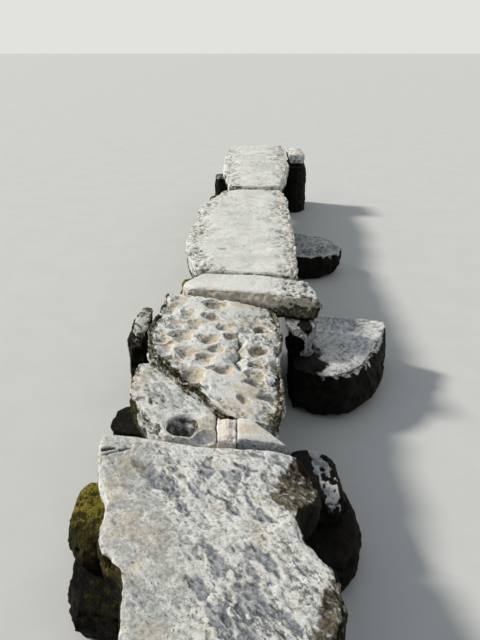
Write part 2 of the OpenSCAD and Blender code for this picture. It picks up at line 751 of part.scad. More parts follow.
module pier2_left_boulder() {
    place(mossy) stone(
        [-pier2_left, pier2_split - stone_gap], [cross_y0 - pier2_near, pier2_back_y], [0, pier2_base_h], 17,
        crown = 0.94, foot = 0.95
    );
}

module pier2_core() {
    place(dark) stone(
        [pier2_split, cutwater_x[0] - stone_gap], span(cross_y0, -pier2_near, 0.77 * pier2_far),
        [0, pier2_base_h], 18, crown = 0.94
    );
}

module side_block() {
    place(mossy) stone(
        side_block_x, span(cross_y0, -0.8 * side_block_l, 0.2 * side_block_l),
        [pier2_base_h, pitted_top - side_block_drop], 19, crown = 0.65, foot = 0.95, lean = [0.9, 0.3]
    );
}

module pier2_pitted_bearer() {
    x = span(pitted_x, -0.37 * pitted_w, 0.41 * pitted_w);
    place(grey) stone(
        x, [cross_y0 - 0.86 * pier2_near, cross_y0 + cross_slope * x[1] - bearer_back],
        [pier2_base_h, pitted_z], 20, crown = 0.93
    );
}

module pier2_cross_bearer() {
    x = span(cross_x, -0.42 * cross_w, 0.19 * cross_w);
    place(grey) stone(
        x, [cross_y0 + cross_slope * x[0], cross_y1 + cross_slope * x[1] - bearer_back],
        [pier2_base_h, cross_z], 21, crown = 0.94
    );
}

module pier2_far_bearer() {
    x = span(far_x, -0.24 * far_w, 0.25 * far_w);
    place(grey) stone(
        x, [far_y0 + cross_slope * x[0] + stone_gap, cross_y0 + 0.75 * pier2_far],
        [pier2_base_h, far_z], 22, crown = 0.93
    );
}

module pier2_mossy_stone() {
    place(mossy) stone(
        [far_left - arris, pier2_split - stone_gap], [pier2_back_y + stone_gap, cross_y0 + pier2_far],
        [0, far_z], 23, crown = 0.85, lean = [0.5, 0.2]
    );
}

// Far pier, under the joint between the far slab and the end slab

outlying_outline = [
    [-0.98, -0.45], [-0.7, -0.92], [-0.2, -1], [0.35, -0.9], [0.8, -0.55], [1, -0.05], [0.9, 0.4],
    [0.55, 0.72], [0.1, 0.92], [-0.4, 1], [-0.85, 0.8], [-1, 0.2]
];

module outlying_boulder() {
    place(grey) stone(
        outlying_x, outlying_y, [0, outlying_h], 0, crown = 0.5, foot = 0.9, lean = [-0.95, 0.4],
        outline = outlying_outline
    );
}

module outlying_bearer() {
    place(grey) stone(
        outlying_bearer_x, outlying_y + [0.28, -0.3] * outlying_l, [outlying_h, far_z], 25, crown = 0.88
    );
}

module pier3_left_boulder() {
    place(mossy) stone(
        [-pier3_left, -stone_gap], span(far_y1, -pier3_near, pier3_far), [0, pier3_base_h], 26, crown = 0.92
    );
}

module pier3_right_boulder() {
    place(dark) stone(
        [0, pier3_right], [pier3_right_y, far_y1 + pier3_far], [0, pier3_base_h], 27, crown = 0.92
    );
}

module pier3_far_bearer() {
    place(grey) stone(
        [-0.6 * pier3_left, 0.49 * pier3_right], span(far_y1, -0.88 * pier3_near, -stone_gap),
        [pier3_base_h, far_z], 28, crown = 0.92
    );
}

module pier3_end_bearer() {
    place(grey) stone(
        [pier3_split, 0.85 * pier3_right], span(end_y0, stone_gap, 0.74 * pier3_far),
        [pier3_base_h, end_z], 29, crown = 0.92
    );
}

module pier3_left_stone() {
    place(mossy) stone(
        [-0.91 * pier3_left, pier3_split - stone_gap], span(end_y0, 2 * stone_gap, 0.89 * pier3_far),
        [pier3_base_h, end_z], 30, crown = 0.85
    );
}

// Far abutment, in the bank

far_abutment_y = span(end_y1, -overhang - far_abutment_l, -overhang);
far_abutment_x = span(end_left, 0, far_abutment_w);
far_abutment_split = end_left + 0.56 * far_abutment_w;

module revetment_stone() {
    place(mossy) stone(
        span(end_left, -0.44 * revetment_w, 0.56 * revetment_w),
        span(far_abutment_y[0], -stone_gap - revetment_l, -stone_gap), [0, end_z], 31, crown = 0.86
    );
}

module far_abutment_left() {
    place(dark) stone(
        [far_abutment_x[0], far_abutment_split - stone_gap], far_abutment_y, [0, abutment_base_h], 32,
        crown = 0.94
    );
}

module far_abutment_right() {
    place(dark) stone(
        [far_abutment_split, far_abutment_x[1]], far_abutment_y, [0, abutment_base_h], 33, crown = 0.94
    );
}

module far_abutment_cap() {
    place(grey) stone(
        far_abutment_x + [0.07, -0.1] * far_abutment_w, far_abutment_y + [0.07, -0.08] * far_abutment_l,
        [abutment_base_h, end_z], 34, crown = 0.92
    );
}

module bank_stone() {
    place(mossy) stone(
        [far_abutment_x[1] + stone_gap, bank_x[1] + 2 * arris], bank_y + [-0.4 * bank_l, overhang / 2],
        [0, end_z], 35, crown = 0.86, foot = 0.97
    );
}

near_slab();
hollowed_slab();
mortar_joint();
wedge_stone();
pitted_slab();
cross_slab();
far_slab();
end_slab();
bank_slab();
near_abutment_left();
near_abutment_right();
near_abutment_cap();
near_abutment_toe();
pier1_left_boulder();
pier1_core();
pier1_right_boulder();
pier1_back_stone();
pier1_mossy_stone();
pier1_near_bearer();
pier1_pale_stone();
pier1_hollowed_bearer();
pier1_wedge_packing();
pier1_pitted_bearer();
cutwater_boulder();
upright_stone();
pier2_left_boulder();
pier2_core();
side_block();
pier2_pitted_bearer();
pier2_cross_bearer();
pier2_far_bearer();
pier2_mossy_stone();
outlying_boulder();
outlying_bearer();
pier3_left_boulder();
pier3_right_boulder();
pier3_far_bearer();
pier3_end_bearer();
pier3_left_stone();
revetment_stone();
far_abutment_left();
far_abutment_right();
far_abutment_cap();
bank_stone();
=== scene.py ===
# %% [markdown]
# # A stone clapper bridge, carved and finished in Blender
# A clapper bridge is big natural slabs laid end to end on low piers of dry stone, here in pitted limestone
# over a stream. The packed CAD model already holds every stone at its real size and place. This lesson
# turns each of those plain solids into weathered rock: its surface is carved finely as real geometry, and
# its finish is built from shader nodes. The frame comes first, because every stone sits where the CAD model
# says.

# %% Load the frame
import itertools
import json
import math

import bmesh
import bpy
import numpy as np
from mathutils import Euler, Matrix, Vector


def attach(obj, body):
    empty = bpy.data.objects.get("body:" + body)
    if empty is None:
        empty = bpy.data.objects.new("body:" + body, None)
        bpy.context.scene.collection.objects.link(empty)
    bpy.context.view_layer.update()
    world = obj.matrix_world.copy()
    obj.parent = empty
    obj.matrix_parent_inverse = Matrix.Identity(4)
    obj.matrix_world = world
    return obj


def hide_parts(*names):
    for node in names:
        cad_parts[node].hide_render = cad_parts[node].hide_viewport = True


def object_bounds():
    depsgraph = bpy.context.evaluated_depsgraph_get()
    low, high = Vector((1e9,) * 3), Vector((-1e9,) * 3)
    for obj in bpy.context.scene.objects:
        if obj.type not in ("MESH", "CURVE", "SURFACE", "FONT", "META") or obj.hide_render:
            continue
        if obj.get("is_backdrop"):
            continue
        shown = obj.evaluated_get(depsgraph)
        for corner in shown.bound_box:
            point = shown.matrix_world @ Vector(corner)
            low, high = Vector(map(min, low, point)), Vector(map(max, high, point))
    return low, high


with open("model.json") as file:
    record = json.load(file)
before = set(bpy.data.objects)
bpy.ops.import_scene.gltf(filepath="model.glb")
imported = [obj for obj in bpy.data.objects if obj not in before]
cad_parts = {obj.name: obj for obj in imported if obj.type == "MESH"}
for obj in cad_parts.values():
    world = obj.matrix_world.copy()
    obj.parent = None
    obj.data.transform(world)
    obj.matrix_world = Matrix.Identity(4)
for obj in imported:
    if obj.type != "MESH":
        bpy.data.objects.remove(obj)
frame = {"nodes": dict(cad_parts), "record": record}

cad_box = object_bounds()
print("stones in the frame:", len(frame["nodes"]))

# %% [markdown]
# ## The camera
# The picture was taken standing on the near slab and looking along the walkway, tilted a little down. So
# the camera stands at eye height above the near slab and is pitched, not raised far above the bridge.
# Blender's sensor width belongs to the longer side of the picture, here its height of 640 pixels.

# %% Camera at eye height over the near slab
PICTURE_HEIGHT = 640
FOCAL_PIXELS = 647
EYE = (-0.125, -3.6975, 2.0)
TILT_DOWN = 25
camera_data = bpy.data.cameras.new("camera")
camera_data.sensor_width = 36
camera_data.lens = camera_data.sensor_width * FOCAL_PIXELS / PICTURE_HEIGHT
camera = bpy.data.objects.new("camera", camera_data)
camera.location = EYE
camera.rotation_euler = (math.radians(90 - TILT_DOWN), 0, 0)
bpy.context.scene.collection.objects.link(camera)
bpy.context.scene.camera = camera
bpy.context.scene.view_settings.view_transform = "Standard"
print("lens in millimetres:", round(camera_data.lens, 2))

# %% [markdown]
# ## Colours
# Colours are easiest to choose as the 0 to 255 values that a screen shows, but shader nodes work in linear
# light. One small function turns the first into the second, and every finish then takes its tones from one
# palette.

# %% Palette in linear light
def screen(red, green, blue):
    """Linear colour, with alpha, for a tone written as it looks on a screen."""
    def linear(value):
        share = value / 255
        return share / 12.92 if share <= 0.04045 else ((share + 0.055) / 1.055) ** 2.4
    return (linear(red), linear(green), linear(blue), 1.0)


TONES = {
    "chalk": screen(240, 239, 233), "bleached": screen(222, 221, 214), "cream": screen(218, 206, 181),
    # The slate tones are the stone's own blue-grey and also the painted sky-lit shade in its hollows.
    "worn": screen(192, 190, 181), "worn_dark": screen(134, 137, 136), "slate": screen(148, 156, 166),
    "slate_dark": screen(84, 93, 107), "slate_mid": screen(112, 120, 132),
    "ochre": screen(226, 210, 182), "ochre_dark": screen(194, 171, 136),
    "brown": screen(124, 112, 88), "brown_dark": screen(34, 31, 24), "earth": screen(90, 84, 74),
    # The algae tones are near black: they are algae and also painted shade on sides the light does not reach.
    "pit": screen(44, 43, 40), "algae_and_shade": screen(9, 8, 7), "algae_and_shade_brown": screen(28, 25, 19),
    "moss_dark": screen(20, 19, 11), "moss_olive": screen(62, 58, 26), "moss_green": screen(66, 76, 22),
    "moss_bright": screen(150, 138, 56), "straw": screen(132, 108, 68), "lichen": screen(92, 86, 68),
    "mortar": screen(252, 246, 238), "mortar_dark": screen(242, 230, 216),
    "shade_stone": screen(140, 143, 141),
}
print("tones in the palette:", len(TONES))

# %% [markdown]
# ## Floor and light
# The part stands on a plain pale floor, lit from the left by one broad soft lamp, as the low sun does in
# the picture, with an even world light that keeps the shaded sides readable. The two add up to about the
# level at which a colour renders as it is written. The world shows a pale backdrop to the camera and in
# reflections, and lights the stones more weakly than that.

# %% Floor
FLOOR_HALF = 40
floor_mesh = bpy.data.meshes.new("floor")
floor_corners = [(x * FLOOR_HALF, y * FLOOR_HALF, 0) for x, y in ((-1, -1), (1, -1), (1, 1), (-1, 1))]
floor_mesh.from_pydata(floor_corners, [], [(0, 1, 2, 3)])
floor = bpy.data.objects.new("floor", floor_mesh)
bpy.context.scene.collection.objects.link(floor)
floor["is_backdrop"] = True
print("floor side in metres:", 2 * FLOOR_HALF)

# %% Soft sun
SUN_ENERGY, SUN_WIDTH, SUN_TURN = 3.1, 9, (-16, -52, 0)
sun_data = bpy.data.lights.new("soft_sun", "SUN")
sun_data.energy = SUN_ENERGY
sun_data.angle = math.radians(SUN_WIDTH)
sun_data.color = (1.0, 0.96, 0.89)
sun = bpy.data.objects.new("soft_sun", sun_data)
sun.rotation_euler = [math.radians(angle) for angle in SUN_TURN]
bpy.context.scene.collection.objects.link(sun)
print("sun energy:", SUN_ENERGY, "width in degrees:", SUN_WIDTH)

# %% Even world light and a pale backdrop
FILL_STRENGTH = 0.40
world = bpy.data.worlds.new("studio")
bpy.context.scene.world = world
world.use_nodes = True
world_nodes, world_links = world.node_tree.nodes, world.node_tree.links
fill_light = world_nodes["Background"]
fill_light.inputs["Color"].default_value = (0.84, 0.92, 1.0, 1)
fill_light.inputs["Strength"].default_value = FILL_STRENGTH
backdrop = world_nodes.new("ShaderNodeBackground")
backdrop.inputs["Color"].default_value = screen(226, 226, 222)
ray = world_nodes.new("ShaderNodeLightPath")
seen = ray.outputs["Is Camera Ray"]
for other_ray in ("Is Glossy Ray", "Is Transmission Ray"):
    either = world_nodes.new("ShaderNodeMath")
    either.operation = "MAXIMUM"
    world_links.new(seen, either.inputs[0])
    world_links.new(ray.outputs[other_ray], either.inputs[1])
    seen = either.outputs[0]
pick = world_nodes.new("ShaderNodeMixShader")
world_links.new(seen, pick.inputs["Fac"])
world_links.new(fill_light.outputs["Background"], pick.inputs[1])
world_links.new(backdrop.outputs["Background"], pick.inputs[2])
world_links.new(pick.outputs["Shader"], world_nodes["World Output"].inputs["Surface"])
print("world strength:", FILL_STRENGTH)

# %% [markdown]
# ## Noise for rock
# Weathering leaves bumps of every size and round-bottomed solution pits. Blender's textures can displace a
# mesh, but carving with our own noise lets one function both shape the stone and hand the shader a mask of
# where it cut. The noise is a table of random numbers at whole places of a lattice, blended smoothly in
# between. The numbers come from the place itself, so every run carves the same stone.

# %% Random numbers that belong to a place
def scattered(cells, seed):
    """A number from 0 to 1 for each lattice cell, always the same for the same cell and seed."""
    # The large numbers only stir the digits of the place well.
    mixed = cells[:, 0] * 73856093 ^ cells[:, 1] * 19349663 ^ cells[:, 2] * 83492791 ^ seed * 40503
    mixed = (mixed ^ mixed >> 13 & 0x7FFFF) & 0xFFFFFFFF
    mixed = mixed * 1274126177 & 0xFFFFFFFF
    mixed = (mixed ^ mixed >> 16) * 668265263 & 0xFFFFFFFF
    return (mixed ^ mixed >> 15) / 0xFFFFFFFF


block = np.array(list(itertools.product(range(12), repeat=3)))
print("mean of the scattered numbers:", round(float(scattered(block, 1).mean()), 2))

# %% Smooth rise and fall
def ease(low, high, value):
    """0 below low, 1 above high and a smooth rise between them."""
    share = np.clip((value - low) / (high - low), 0, 1)
    return share * share * (3 - 2 * share)


def fade(low, high, value):
    """1 below low, 0 above high and a smooth fall between them."""
    return 1 - ease(low, high, value)


print("a quarter of the way up:", round(float(ease(0, 1, 0.25)), 3))
print("a quarter of the way down:", round(float(fade(0, 1, 0.25)), 3))

# %% Lumps and crags
CRAG_GAIN = 1.6  # brings the sum of several sizes back to about -1 to 1


def tilted(points, seed):
    """Points turned by angles that go with the seed, so no lattice lines up with a stone's edges."""
    return points @ np.array(Euler((0.7 * seed + 0.4, 1.1 * seed + 0.8, 0.3 * seed + 0.6)).to_matrix())


def lumps(points, size, seed):
    """Smooth bumps of one size, from -1 to 1."""
    place = tilted(points, seed) / size
    cell = np.floor(place).astype(np.int64)
    part = ease(0, 1, place - cell)
    total = np.zeros(len(points))
    for corner in itertools.product((0, 1), repeat=3):
        weight = np.prod(np.where(corner, part, 1 - part), axis=1)
        total += weight * scattered(cell + np.array(corner), seed)
    return total * 2 - 1


def crags(points, size, seed, octaves=4):
    """Bumps of several sizes, each half as wide and as strong as the last, from about -1 to 1."""
    total, strength, whole = np.zeros(len(points)), 1.0, 0.0
    for octave in range(octaves):
        total += strength * lumps(points, size / 2 ** octave, seed + octave)
        whole += strength
        strength *= 0.5
    return total / whole * CRAG_GAIN


sample = np.random.default_rng(1).uniform(-1, 1, (4000, 3))
print("lumps from", round(lumps(sample, 0.1, 5).min(), 2), "to", round(lumps(sample, 0.1, 5).max(), 2))

# %% Solution pits, and patterns drawn out
SMALL_PIT, PIT_SPREAD = 0.22, 0.4  # radius of the smallest pit and what the widest adds to it, in cells


def pits(points, size, seed, share=0.6):
    """Depth from 0 to 1 of round-bottomed pits about half a cell wide; share of the cells hold one."""
    place = tilted(points, seed) / size
    cell = np.floor(place).astype(np.int64)
    deepest = np.zeros(len(points))
    for step in itertools.product((-1, 0, 1), repeat=3):
        near = cell + np.array(step)
        middle = near + np.stack([0.15 + 0.7 * scattered(near, seed + axis) for axis in range(3)], axis=1)
        chance = scattered(near, seed + 3)
        radius = SMALL_PIT + PIT_SPREAD * chance / share
        away = np.linalg.norm(place - middle, axis=1) / radius
        bowl = np.clip(1 - away * away, 0, 1) * radius / (SMALL_PIT + PIT_SPREAD)
        deepest = np.maximum(deepest, np.where(chance < share, bowl, 0))
    return deepest


def stretched(points, turn, ratio):
    """Points squeezed along one direction of the plan, so that what is carved comes out long that way."""
    c, s = math.cos(math.radians(turn)), math.sin(math.radians(turn))
    along = (points[:, 0] * c + points[:, 1] * s) / ratio
    return np.stack([along, points[:, 1] * c - points[:, 0] * s, points[:, 2]], axis=1)


print("share of a surface under pits:", round(float((pits(sample, 0.1, 7) > 0).mean()), 2))

# %% [markdown]
# ## A stone on the bench
# Carving a stone is a list of cuts and paints. One small class holds what every cut needs: the points,
# which way the surface faces, how far each point lies from the stone's outline seen from above, and the
# masks painted so far. Slices across and along find the outline, because the farthest points of each slice
# lie on it. Rain eats limestone into steep small pits with sharp ridges left between them, called karst, so
# the class has one cut for just that. In the recipes the first number of crags and pits is their size, and
# those of a dish are its middle, half length and half width, all in metres.

# %% Reading a mesh and its outline
MASKS = ("grey", "slate", "ochre", "brown", "pit", "algae_and_shade", "moss", "lit", "rough")


def read(mesh, what):
    """Places ("co") or normals ("normal") of a mesh's vertices, one row each."""
    values = np.empty(3 * len(mesh.vertices))
    source, key = (mesh.vertices, "co") if what == "co" else (mesh.vertex_normals, "vector")
    source.foreach_get(key, values)
    return values.reshape(-1, 3)


def slice_ends(along, across, step=0.02):
    """Lowest and highest place across, in slices along, read back smoothly at every point."""
    slot = np.floor((along - along.min()) / step).astype(int)
    low, high = np.full(slot.max() + 1, np.inf), np.full(slot.max() + 1, -np.inf)
    np.minimum.at(low, slot, across)
    np.maximum.at(high, slot, across)
    used = np.isfinite(low)
    middle = (along.min() + (np.arange(slot.max() + 1) + 0.5) * step)[used]
    return np.interp(along, middle, low[used]), np.interp(along, middle, high[used])


print("masks:", ", ".join(MASKS))

# %% Stone class
class Stone:
    """One stone being carved: metres cut away at each point, and masks from 0 to 1."""

    def __init__(self, mesh, seed):
        self.points, self.normals = read(mesh, "co"), read(mesh, "normal")
        self.x, self.y, self.z = self.points.T
        self.up = self.normals[:, 2]
        self.face = ease(0.4, 0.8, self.up)
        self.seed = seed
        self.depth = np.zeros(len(self.points))
        self.masks = {name: np.zeros(len(self.points)) for name in MASKS}
        left, right = slice_ends(self.y, self.x)
        near, far = slice_ends(self.x, self.y)
        self.sides = [self.x - left, right - self.x, self.y - near, far - self.y]

    def cut(self, metres):
        """Takes the surface back along its normals; a negative cut lets it swell."""
        self.depth += metres

    def paint(self, mask, values):
        """Lays a mask over what it holds so far; the stronger of the two counts."""
        self.masks[mask] = np.maximum(self.masks[mask], values)

    def crags(self, size, seed, octaves=4, turn=0, ratio=1):
        return crags(stretched(self.points, turn, ratio), size, self.seed + seed, octaves)

    def pits(self, size, seed, share=0.6, turn=0, ratio=1):
        return pits(stretched(self.points, turn, ratio), size, self.seed + seed, share)

    def wander(self, metres, size, seed=91):
        """A shift in the plan that bends what is laid on the stone out of its regular shape."""
        return metres * np.stack([self.crags(size, seed, 3), self.crags(size, seed + 6, 3)], axis=1)

    def dish(self, x, y, length, width, turn=0, warp=0.0):
        """A dish from 0 at its rim to 1 in the middle, laid on the plan at an angle in degrees."""
        away = self.points[:, :2] - (x, y)
        if warp:
            away = away + self.wander(warp, 0.06)
        c, s = math.cos(math.radians(turn)), math.sin(math.radians(turn))
        along, across = away @ (c, s) / length, away @ (-s, c) / width
        return np.clip(1 - along ** 2 - across ** 2, 0, 1)

    def karst(self, where, size, depth, seed, turn=0, ratio=1):
        """Eats steep pits of two sizes and sharp ridges into the area given; returns where the pits are."""
        big = np.sqrt(self.pits(size, seed, 0.7, turn, ratio))
        small = np.sqrt(self.pits(0.5 * size, seed + 1, 0.65, turn, ratio))
        ridge = 1 - np.abs(self.crags(1.3 * size, seed + 2, 3, turn, ratio))
        self.cut(where * depth * (0.6 * big + 0.35 * small + 0.35 * ridge))
        return where * np.maximum(big, 0.8 * small)


print("what a stone offers:", ", ".join(name for name in vars(Stone) if name[0] != "_"))

# %% [markdown]
# ## From solid to fine mesh
# A CAD stone is a few hundred flat faces. Blender's voxel remesh covers any closed solid with even small
# squares, which suits rock because it has no direction of its own, and a few rounds of smoothing wear the
# facets down. Where the camera comes close, the squares are split once more. After carving, each point is
# compared with its surroundings: what lies below them is a cavity, and what stands above them is a crest,
# so painted shade can darken the cavities and wear can bleach the crests.

# %% Fine mesh of one stone
def refined(name, voxel, rounds, finer):
    """A finely and evenly meshed copy of a CAD stone, a little worn at its edges."""
    piece = bpy.data.objects.new("carved_" + name, frame["nodes"][name].data.copy())
    bpy.context.scene.collection.objects.link(piece)
    remesh = piece.modifiers.new("even squares", "REMESH")
    remesh.mode = "VOXEL"
    remesh.voxel_size = voxel
    wear = piece.modifiers.new("worn edges", "SMOOTH")
    wear.iterations = rounds
    finished = piece.evaluated_get(bpy.context.evaluated_depsgraph_get())
    piece.data = bpy.data.meshes.new_from_object(finished)
    piece.modifiers.clear()
    piece.data.name = "carved_" + name
    if finer:
        form = bmesh.new()
        form.from_mesh(piece.data)
        close = [face for face in form.faces if finer(face.calc_center_median(), face.normal)]
        chosen = {edge for face in close for edge in face.edges}
        bmesh.ops.subdivide_edges(form, edges=list(chosen), cuts=1, use_grid_fill=True)
        form.to_mesh(piece.data)
        form.free()
    return piece


print("plain stones have up to", max(len(node.data.polygons) for node in frame["nodes"].values()), "faces")

# %% Cavities and crests
FINE_REACH, WIDE_REACH = 3, 14  # how many squares around a point its surroundings reach
FINE_RELIEF, WIDE_RELIEF = 1.6, 5  # millimetres of relief that count as one
RELIEF_SHOWN = (0.1, 1.3)  # where a cavity or a crest starts to show and where it is full


def sunken(mesh, rounds):
    """Millimetres by which each point lies below its surroundings; negative where it stands above them."""
    ends = np.empty(2 * len(mesh.edges), dtype=np.int32)
    mesh.edges.foreach_get("vertices", ends)
    start, stop = ends.reshape(-1, 2).T
    number = len(mesh.vertices)
    neighbours = np.bincount(ends, minlength=number)[:, None]
    points = read(mesh, "co")
    calm = points
    for _ in range(rounds):
        calm = np.stack([
            np.bincount(start, calm[stop, axis], number) + np.bincount(stop, calm[start, axis], number)
            for axis in range(3)
        ], axis=1) / neighbours
    return ((calm - points) * read(mesh, "normal")).sum(axis=1) * 1000


def relief_masks(mesh):
    """Masks of the cavities and of the crests that carving left."""
    dip = sunken(mesh, FINE_REACH) / FINE_RELIEF + sunken(mesh, WIDE_REACH) / WIDE_RELIEF
    return {"cavity": ease(*RELIEF_SHOWN, dip), "crest": ease(*RELIEF_SHOWN, -dip)}


print("relief is compared", FINE_REACH, "and", WIDE_REACH, "squares around each point")

# %% Carving one stone
LOW, HIGH = np.array(cad_box[0]), np.array(cad_box[1])
carved = {}


def carve(name, slot, finish, recipe, voxel, rounds, seed, finer=None, spill=0.0):
    """Replaces one CAD stone by a carved copy; the recipe cuts and paints the stone it is given."""
    piece = refined(name, voxel, rounds, finer)
    mesh = piece.data
    stone = Stone(mesh, seed)
    low, high = stone.points.min(axis=0) - spill, stone.points.max(axis=0) + spill
    recipe(stone)
    moved = stone.points - stone.normals * stone.depth[:, None]
    mesh.vertices.foreach_set("co", np.clip(moved, np.maximum(low, LOW), np.minimum(high, HIGH)).ravel())
    mesh.update()
    stone.masks.update(relief_masks(mesh))
    for mask, values in stone.masks.items():
        mesh.attributes.new(mask, "FLOAT", "POINT").data.foreach_set("value", np.clip(values, 0, 1))
    mesh.shade_smooth()
    mesh.materials.clear()
    mesh.materials.append(finish)
    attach(piece, "root")
    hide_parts(name)
    carved[name] = sum(len(face.vertices) - 2 for face in mesh.polygons)


print("carved stones stay between", LOW.round(3), "and", HIGH.round(3))

# %% [markdown]
# ## Small helpers for shader nodes
# Every material here is a chain of a few node kinds. A helper for each keeps the recipes below short: a
# value that is a socket is linked, and any other value is written on the input. The number after the place
# of a cloud is its scale per metre, and the two after the value of between say where its rise starts and
# ends.

# %% Node helpers: sums and products
def feed(tree, value, socket):
    """Links a socket, or writes a plain value."""
    if isinstance(value, bpy.types.NodeSocket):
        tree.links.new(value, socket)
    else:
        socket.default_value = value


def maths(tree, operation, first, second):
    """One sum, product or other result of two values."""
    node = tree.nodes.new("ShaderNodeMath")
    node.operation = operation
    feed(tree, first, node.inputs[0])
    feed(tree, second, node.inputs[1])
    return node.outputs[0]


def plus(tree, first, second):
    return maths(tree, "ADD", first, second)


def minus(tree, first, second):
    return maths(tree, "SUBTRACT", first, second)


def times(tree, first, second):
    return maths(tree, "MULTIPLY", first, second)


print("helpers for sums and products are ready")

# %% Node helpers: rises and blends
def between(tree, value, low, high, start=0.0, end=1.0):
    """Smooth rise from start to end while value goes from low to high."""
    node = tree.nodes.new("ShaderNodeMapRange")
    node.interpolation_type = "SMOOTHSTEP"
    for socket, given in zip(node.inputs, (value, low, high, start, end)):
        feed(tree, given, socket)
    return node.outputs[0]


def blended(tree, share, under, over):
    """Colour under with a share of the colour over laid on it."""
    node = tree.nodes.new("ShaderNodeMix")
    node.data_type = "RGBA"
    feed(tree, share, node.inputs["Factor"])
    feed(tree, under, node.inputs[6])
    feed(tree, over, node.inputs[7])
    return node.outputs[2]


print("helpers for rises and blends are ready")

# %% Node helpers: noise
def where_on_stone(tree, stretch=(1, 1, 1), turn=0.0):
    """Coordinates in metres that stay with the stones; stretch draws a pattern out along the turned axes."""
    drawn = tree.nodes.new("ShaderNodeMapping")
    drawn.vector_type = "TEXTURE"
    tree.links.new(tree.nodes.new("ShaderNodeTexCoord").outputs["Object"], drawn.inputs["Vector"])
    drawn.inputs["Rotation"].default_value = (0, 0, math.radians(turn))
    drawn.inputs["Scale"].default_value = stretch
    return drawn.outputs["Vector"]


def cloud(tree, where, scale, detail, roughness, distortion=0.0):
    """Soft noise from 0 to 1."""
    node = tree.nodes.new("ShaderNodeTexNoise")
    labels = ("Vector", "Scale", "Detail", "Roughness", "Distortion")
    for label, given in zip(labels, (where, scale, detail, roughness, distortion)):
        feed(tree, given, node.inputs[label])
    return node.outputs["Fac"]


def scale_for(tree, size):
    """The noise scale whose features have the size given in metres."""
    return maths(tree, "DIVIDE", 1.0, size)


print("helpers for noise are ready")

# %% Node helpers: shared effects
def effect(name, inputs, outputs):
    """An empty node group with named sockets: its tree, its inputs and what its output takes."""
    tree = bpy.data.node_groups.new(name, "ShaderNodeTree")
    for label, start in inputs.items():
        kind = "NodeSocketColor" if isinstance(start, tuple) else "NodeSocketFloat"
        tree.interface.new_socket(name=label, in_out="INPUT", socket_type=kind).default_value = start
    for label in outputs:
        kind = "NodeSocketColor" if label == "Color" else "NodeSocketFloat"
        tree.interface.new_socket(name=label, in_out="OUTPUT", socket_type=kind)
    return tree, tree.nodes.new("NodeGroupInput").outputs, tree.nodes.new("NodeGroupOutput").inputs


def place(tree, group, **values):
    """Puts a shared effect into a material and returns its outputs."""
    node = tree.nodes.new("ShaderNodeGroup")
    node.node_tree = group
    for label, value in values.items():
        feed(tree, value, node.inputs[label.replace("_", " ").capitalize()])
    return node.outputs


print("helpers for shared effects are ready")

# %% [markdown]
# ## Shared effect: mottled limestone
# Limestone is never one tone: bleached crests, cream beds and worn grey patches change over a hand's width,
# with fine speckle in between. The group takes three tones and gives a colour, and a height for the grain
# of the broken surface. Each finish places the same group with its own tones and sizes.

# %% Group: mottled limestone
mottle, given, result = effect(
    "mottled limestone",
    {"Pale": TONES["bleached"], "Second": TONES["cream"], "Third": TONES["worn"], "Patch size": 0.1,
     "Second share": 0.5, "Third share": 0.5, "Speckle": 0.5},
    ("Color", "Height"),
)
spot = where_on_stone(mottle)
per_metre = scale_for(mottle, given["Patch size"])
tone = given["Pale"]
for name, finer, roughness in (("Second", 1.0, 0.6), ("Third", 1.7, 0.7)):
    scale = times(mottle, per_metre, finer)
    patches = cloud(mottle, spot, scale, detail=6.0, roughness=roughness, distortion=0.5)
    start = minus(mottle, 0.93, given[name + " share"])
    mask = between(mottle, patches, start, plus(mottle, start, 0.16))
    tone = blended(mottle, mask, tone, given[name])
grain = cloud(mottle, spot, 150.0, detail=6.0, roughness=0.8)
crumbs = cloud(mottle, spot, 85.0, detail=8.0, roughness=0.78)
# Each speck is its noise, where it starts, where it is full, its strength and its tone.
specks = ((crumbs, 0.53, 0.59, 0.7, "shade_stone"), (crumbs, 0.48, 0.42, 0.7, "chalk"),
          (grain, 0.53, 0.59, 0.6, "chalk"), (grain, 0.45, 0.38, 0.5, "earth"))
for noise, low, high, strength, speck in specks:
    strength = times(mottle, given["Speckle"], strength)
    share = times(mottle, between(mottle, noise, low, high), strength)
    tone = blended(mottle, share, tone, TONES[speck])
mottle.links.new(tone, result["Color"])
mottle.links.new(plus(mottle, times(mottle, grain, 0.4), crumbs), result["Height"])
print(mottle.name, "has", len(mottle.nodes), "nodes")

# %% [markdown]
# ## Shared effect: pocks
# Between the big pits the stone is drilled with pocks a few millimetres wide. They are too small for
# geometry, so the peaks of a fine noise mark them. That gives irregular holes that run together where a
# second, wider noise lets them crowd, and none where it is low. They lie in streaks, because rain runs down
# the face one way.

# %% Group: pocks
STREAK_TURN, STREAK_RATIO = -56, 2.3
along_streaks = {"stretch": (STREAK_RATIO, 1, 1), "turn": STREAK_TURN}
pocks, given, result = effect("pocks", {"Pock size": 0.012, "Amount": 0.5}, ("Mask", "Height"))
spot = where_on_stone(pocks, **along_streaks)
speck = cloud(pocks, spot, scale_for(pocks, given["Pock size"]), detail=4.0, roughness=0.62)
thicket = cloud(pocks, spot, 16.0, detail=5.0, roughness=0.65)
crowding = times(pocks, between(pocks, thicket, 0.36, 0.64), given["Amount"])
threshold = minus(pocks, 0.70, times(pocks, crowding, 0.22))
hole = between(pocks, minus(pocks, speck, threshold), -0.02, 0.04)
pocks.links.new(hole, result["Mask"])
pocks.links.new(times(pocks, hole, -1.0), result["Height"])
print(pocks.name, "has", len(pocks.nodes), "nodes")

# %% [markdown]
# ## Shared effects: ragged mask and two-tone stain
# The masks carved into the mesh fade softly, because they are stored once per vertex. Real stains and
# growths end in a ragged line, and the pale crust of old limestone breaks up like lace. One group tears a
# soft mask with noise: a low lace value frays its edge, and a high one tears holes all through it. A stain
# isn't one tone either, so the second group mixes a dark and a light one in blotches.

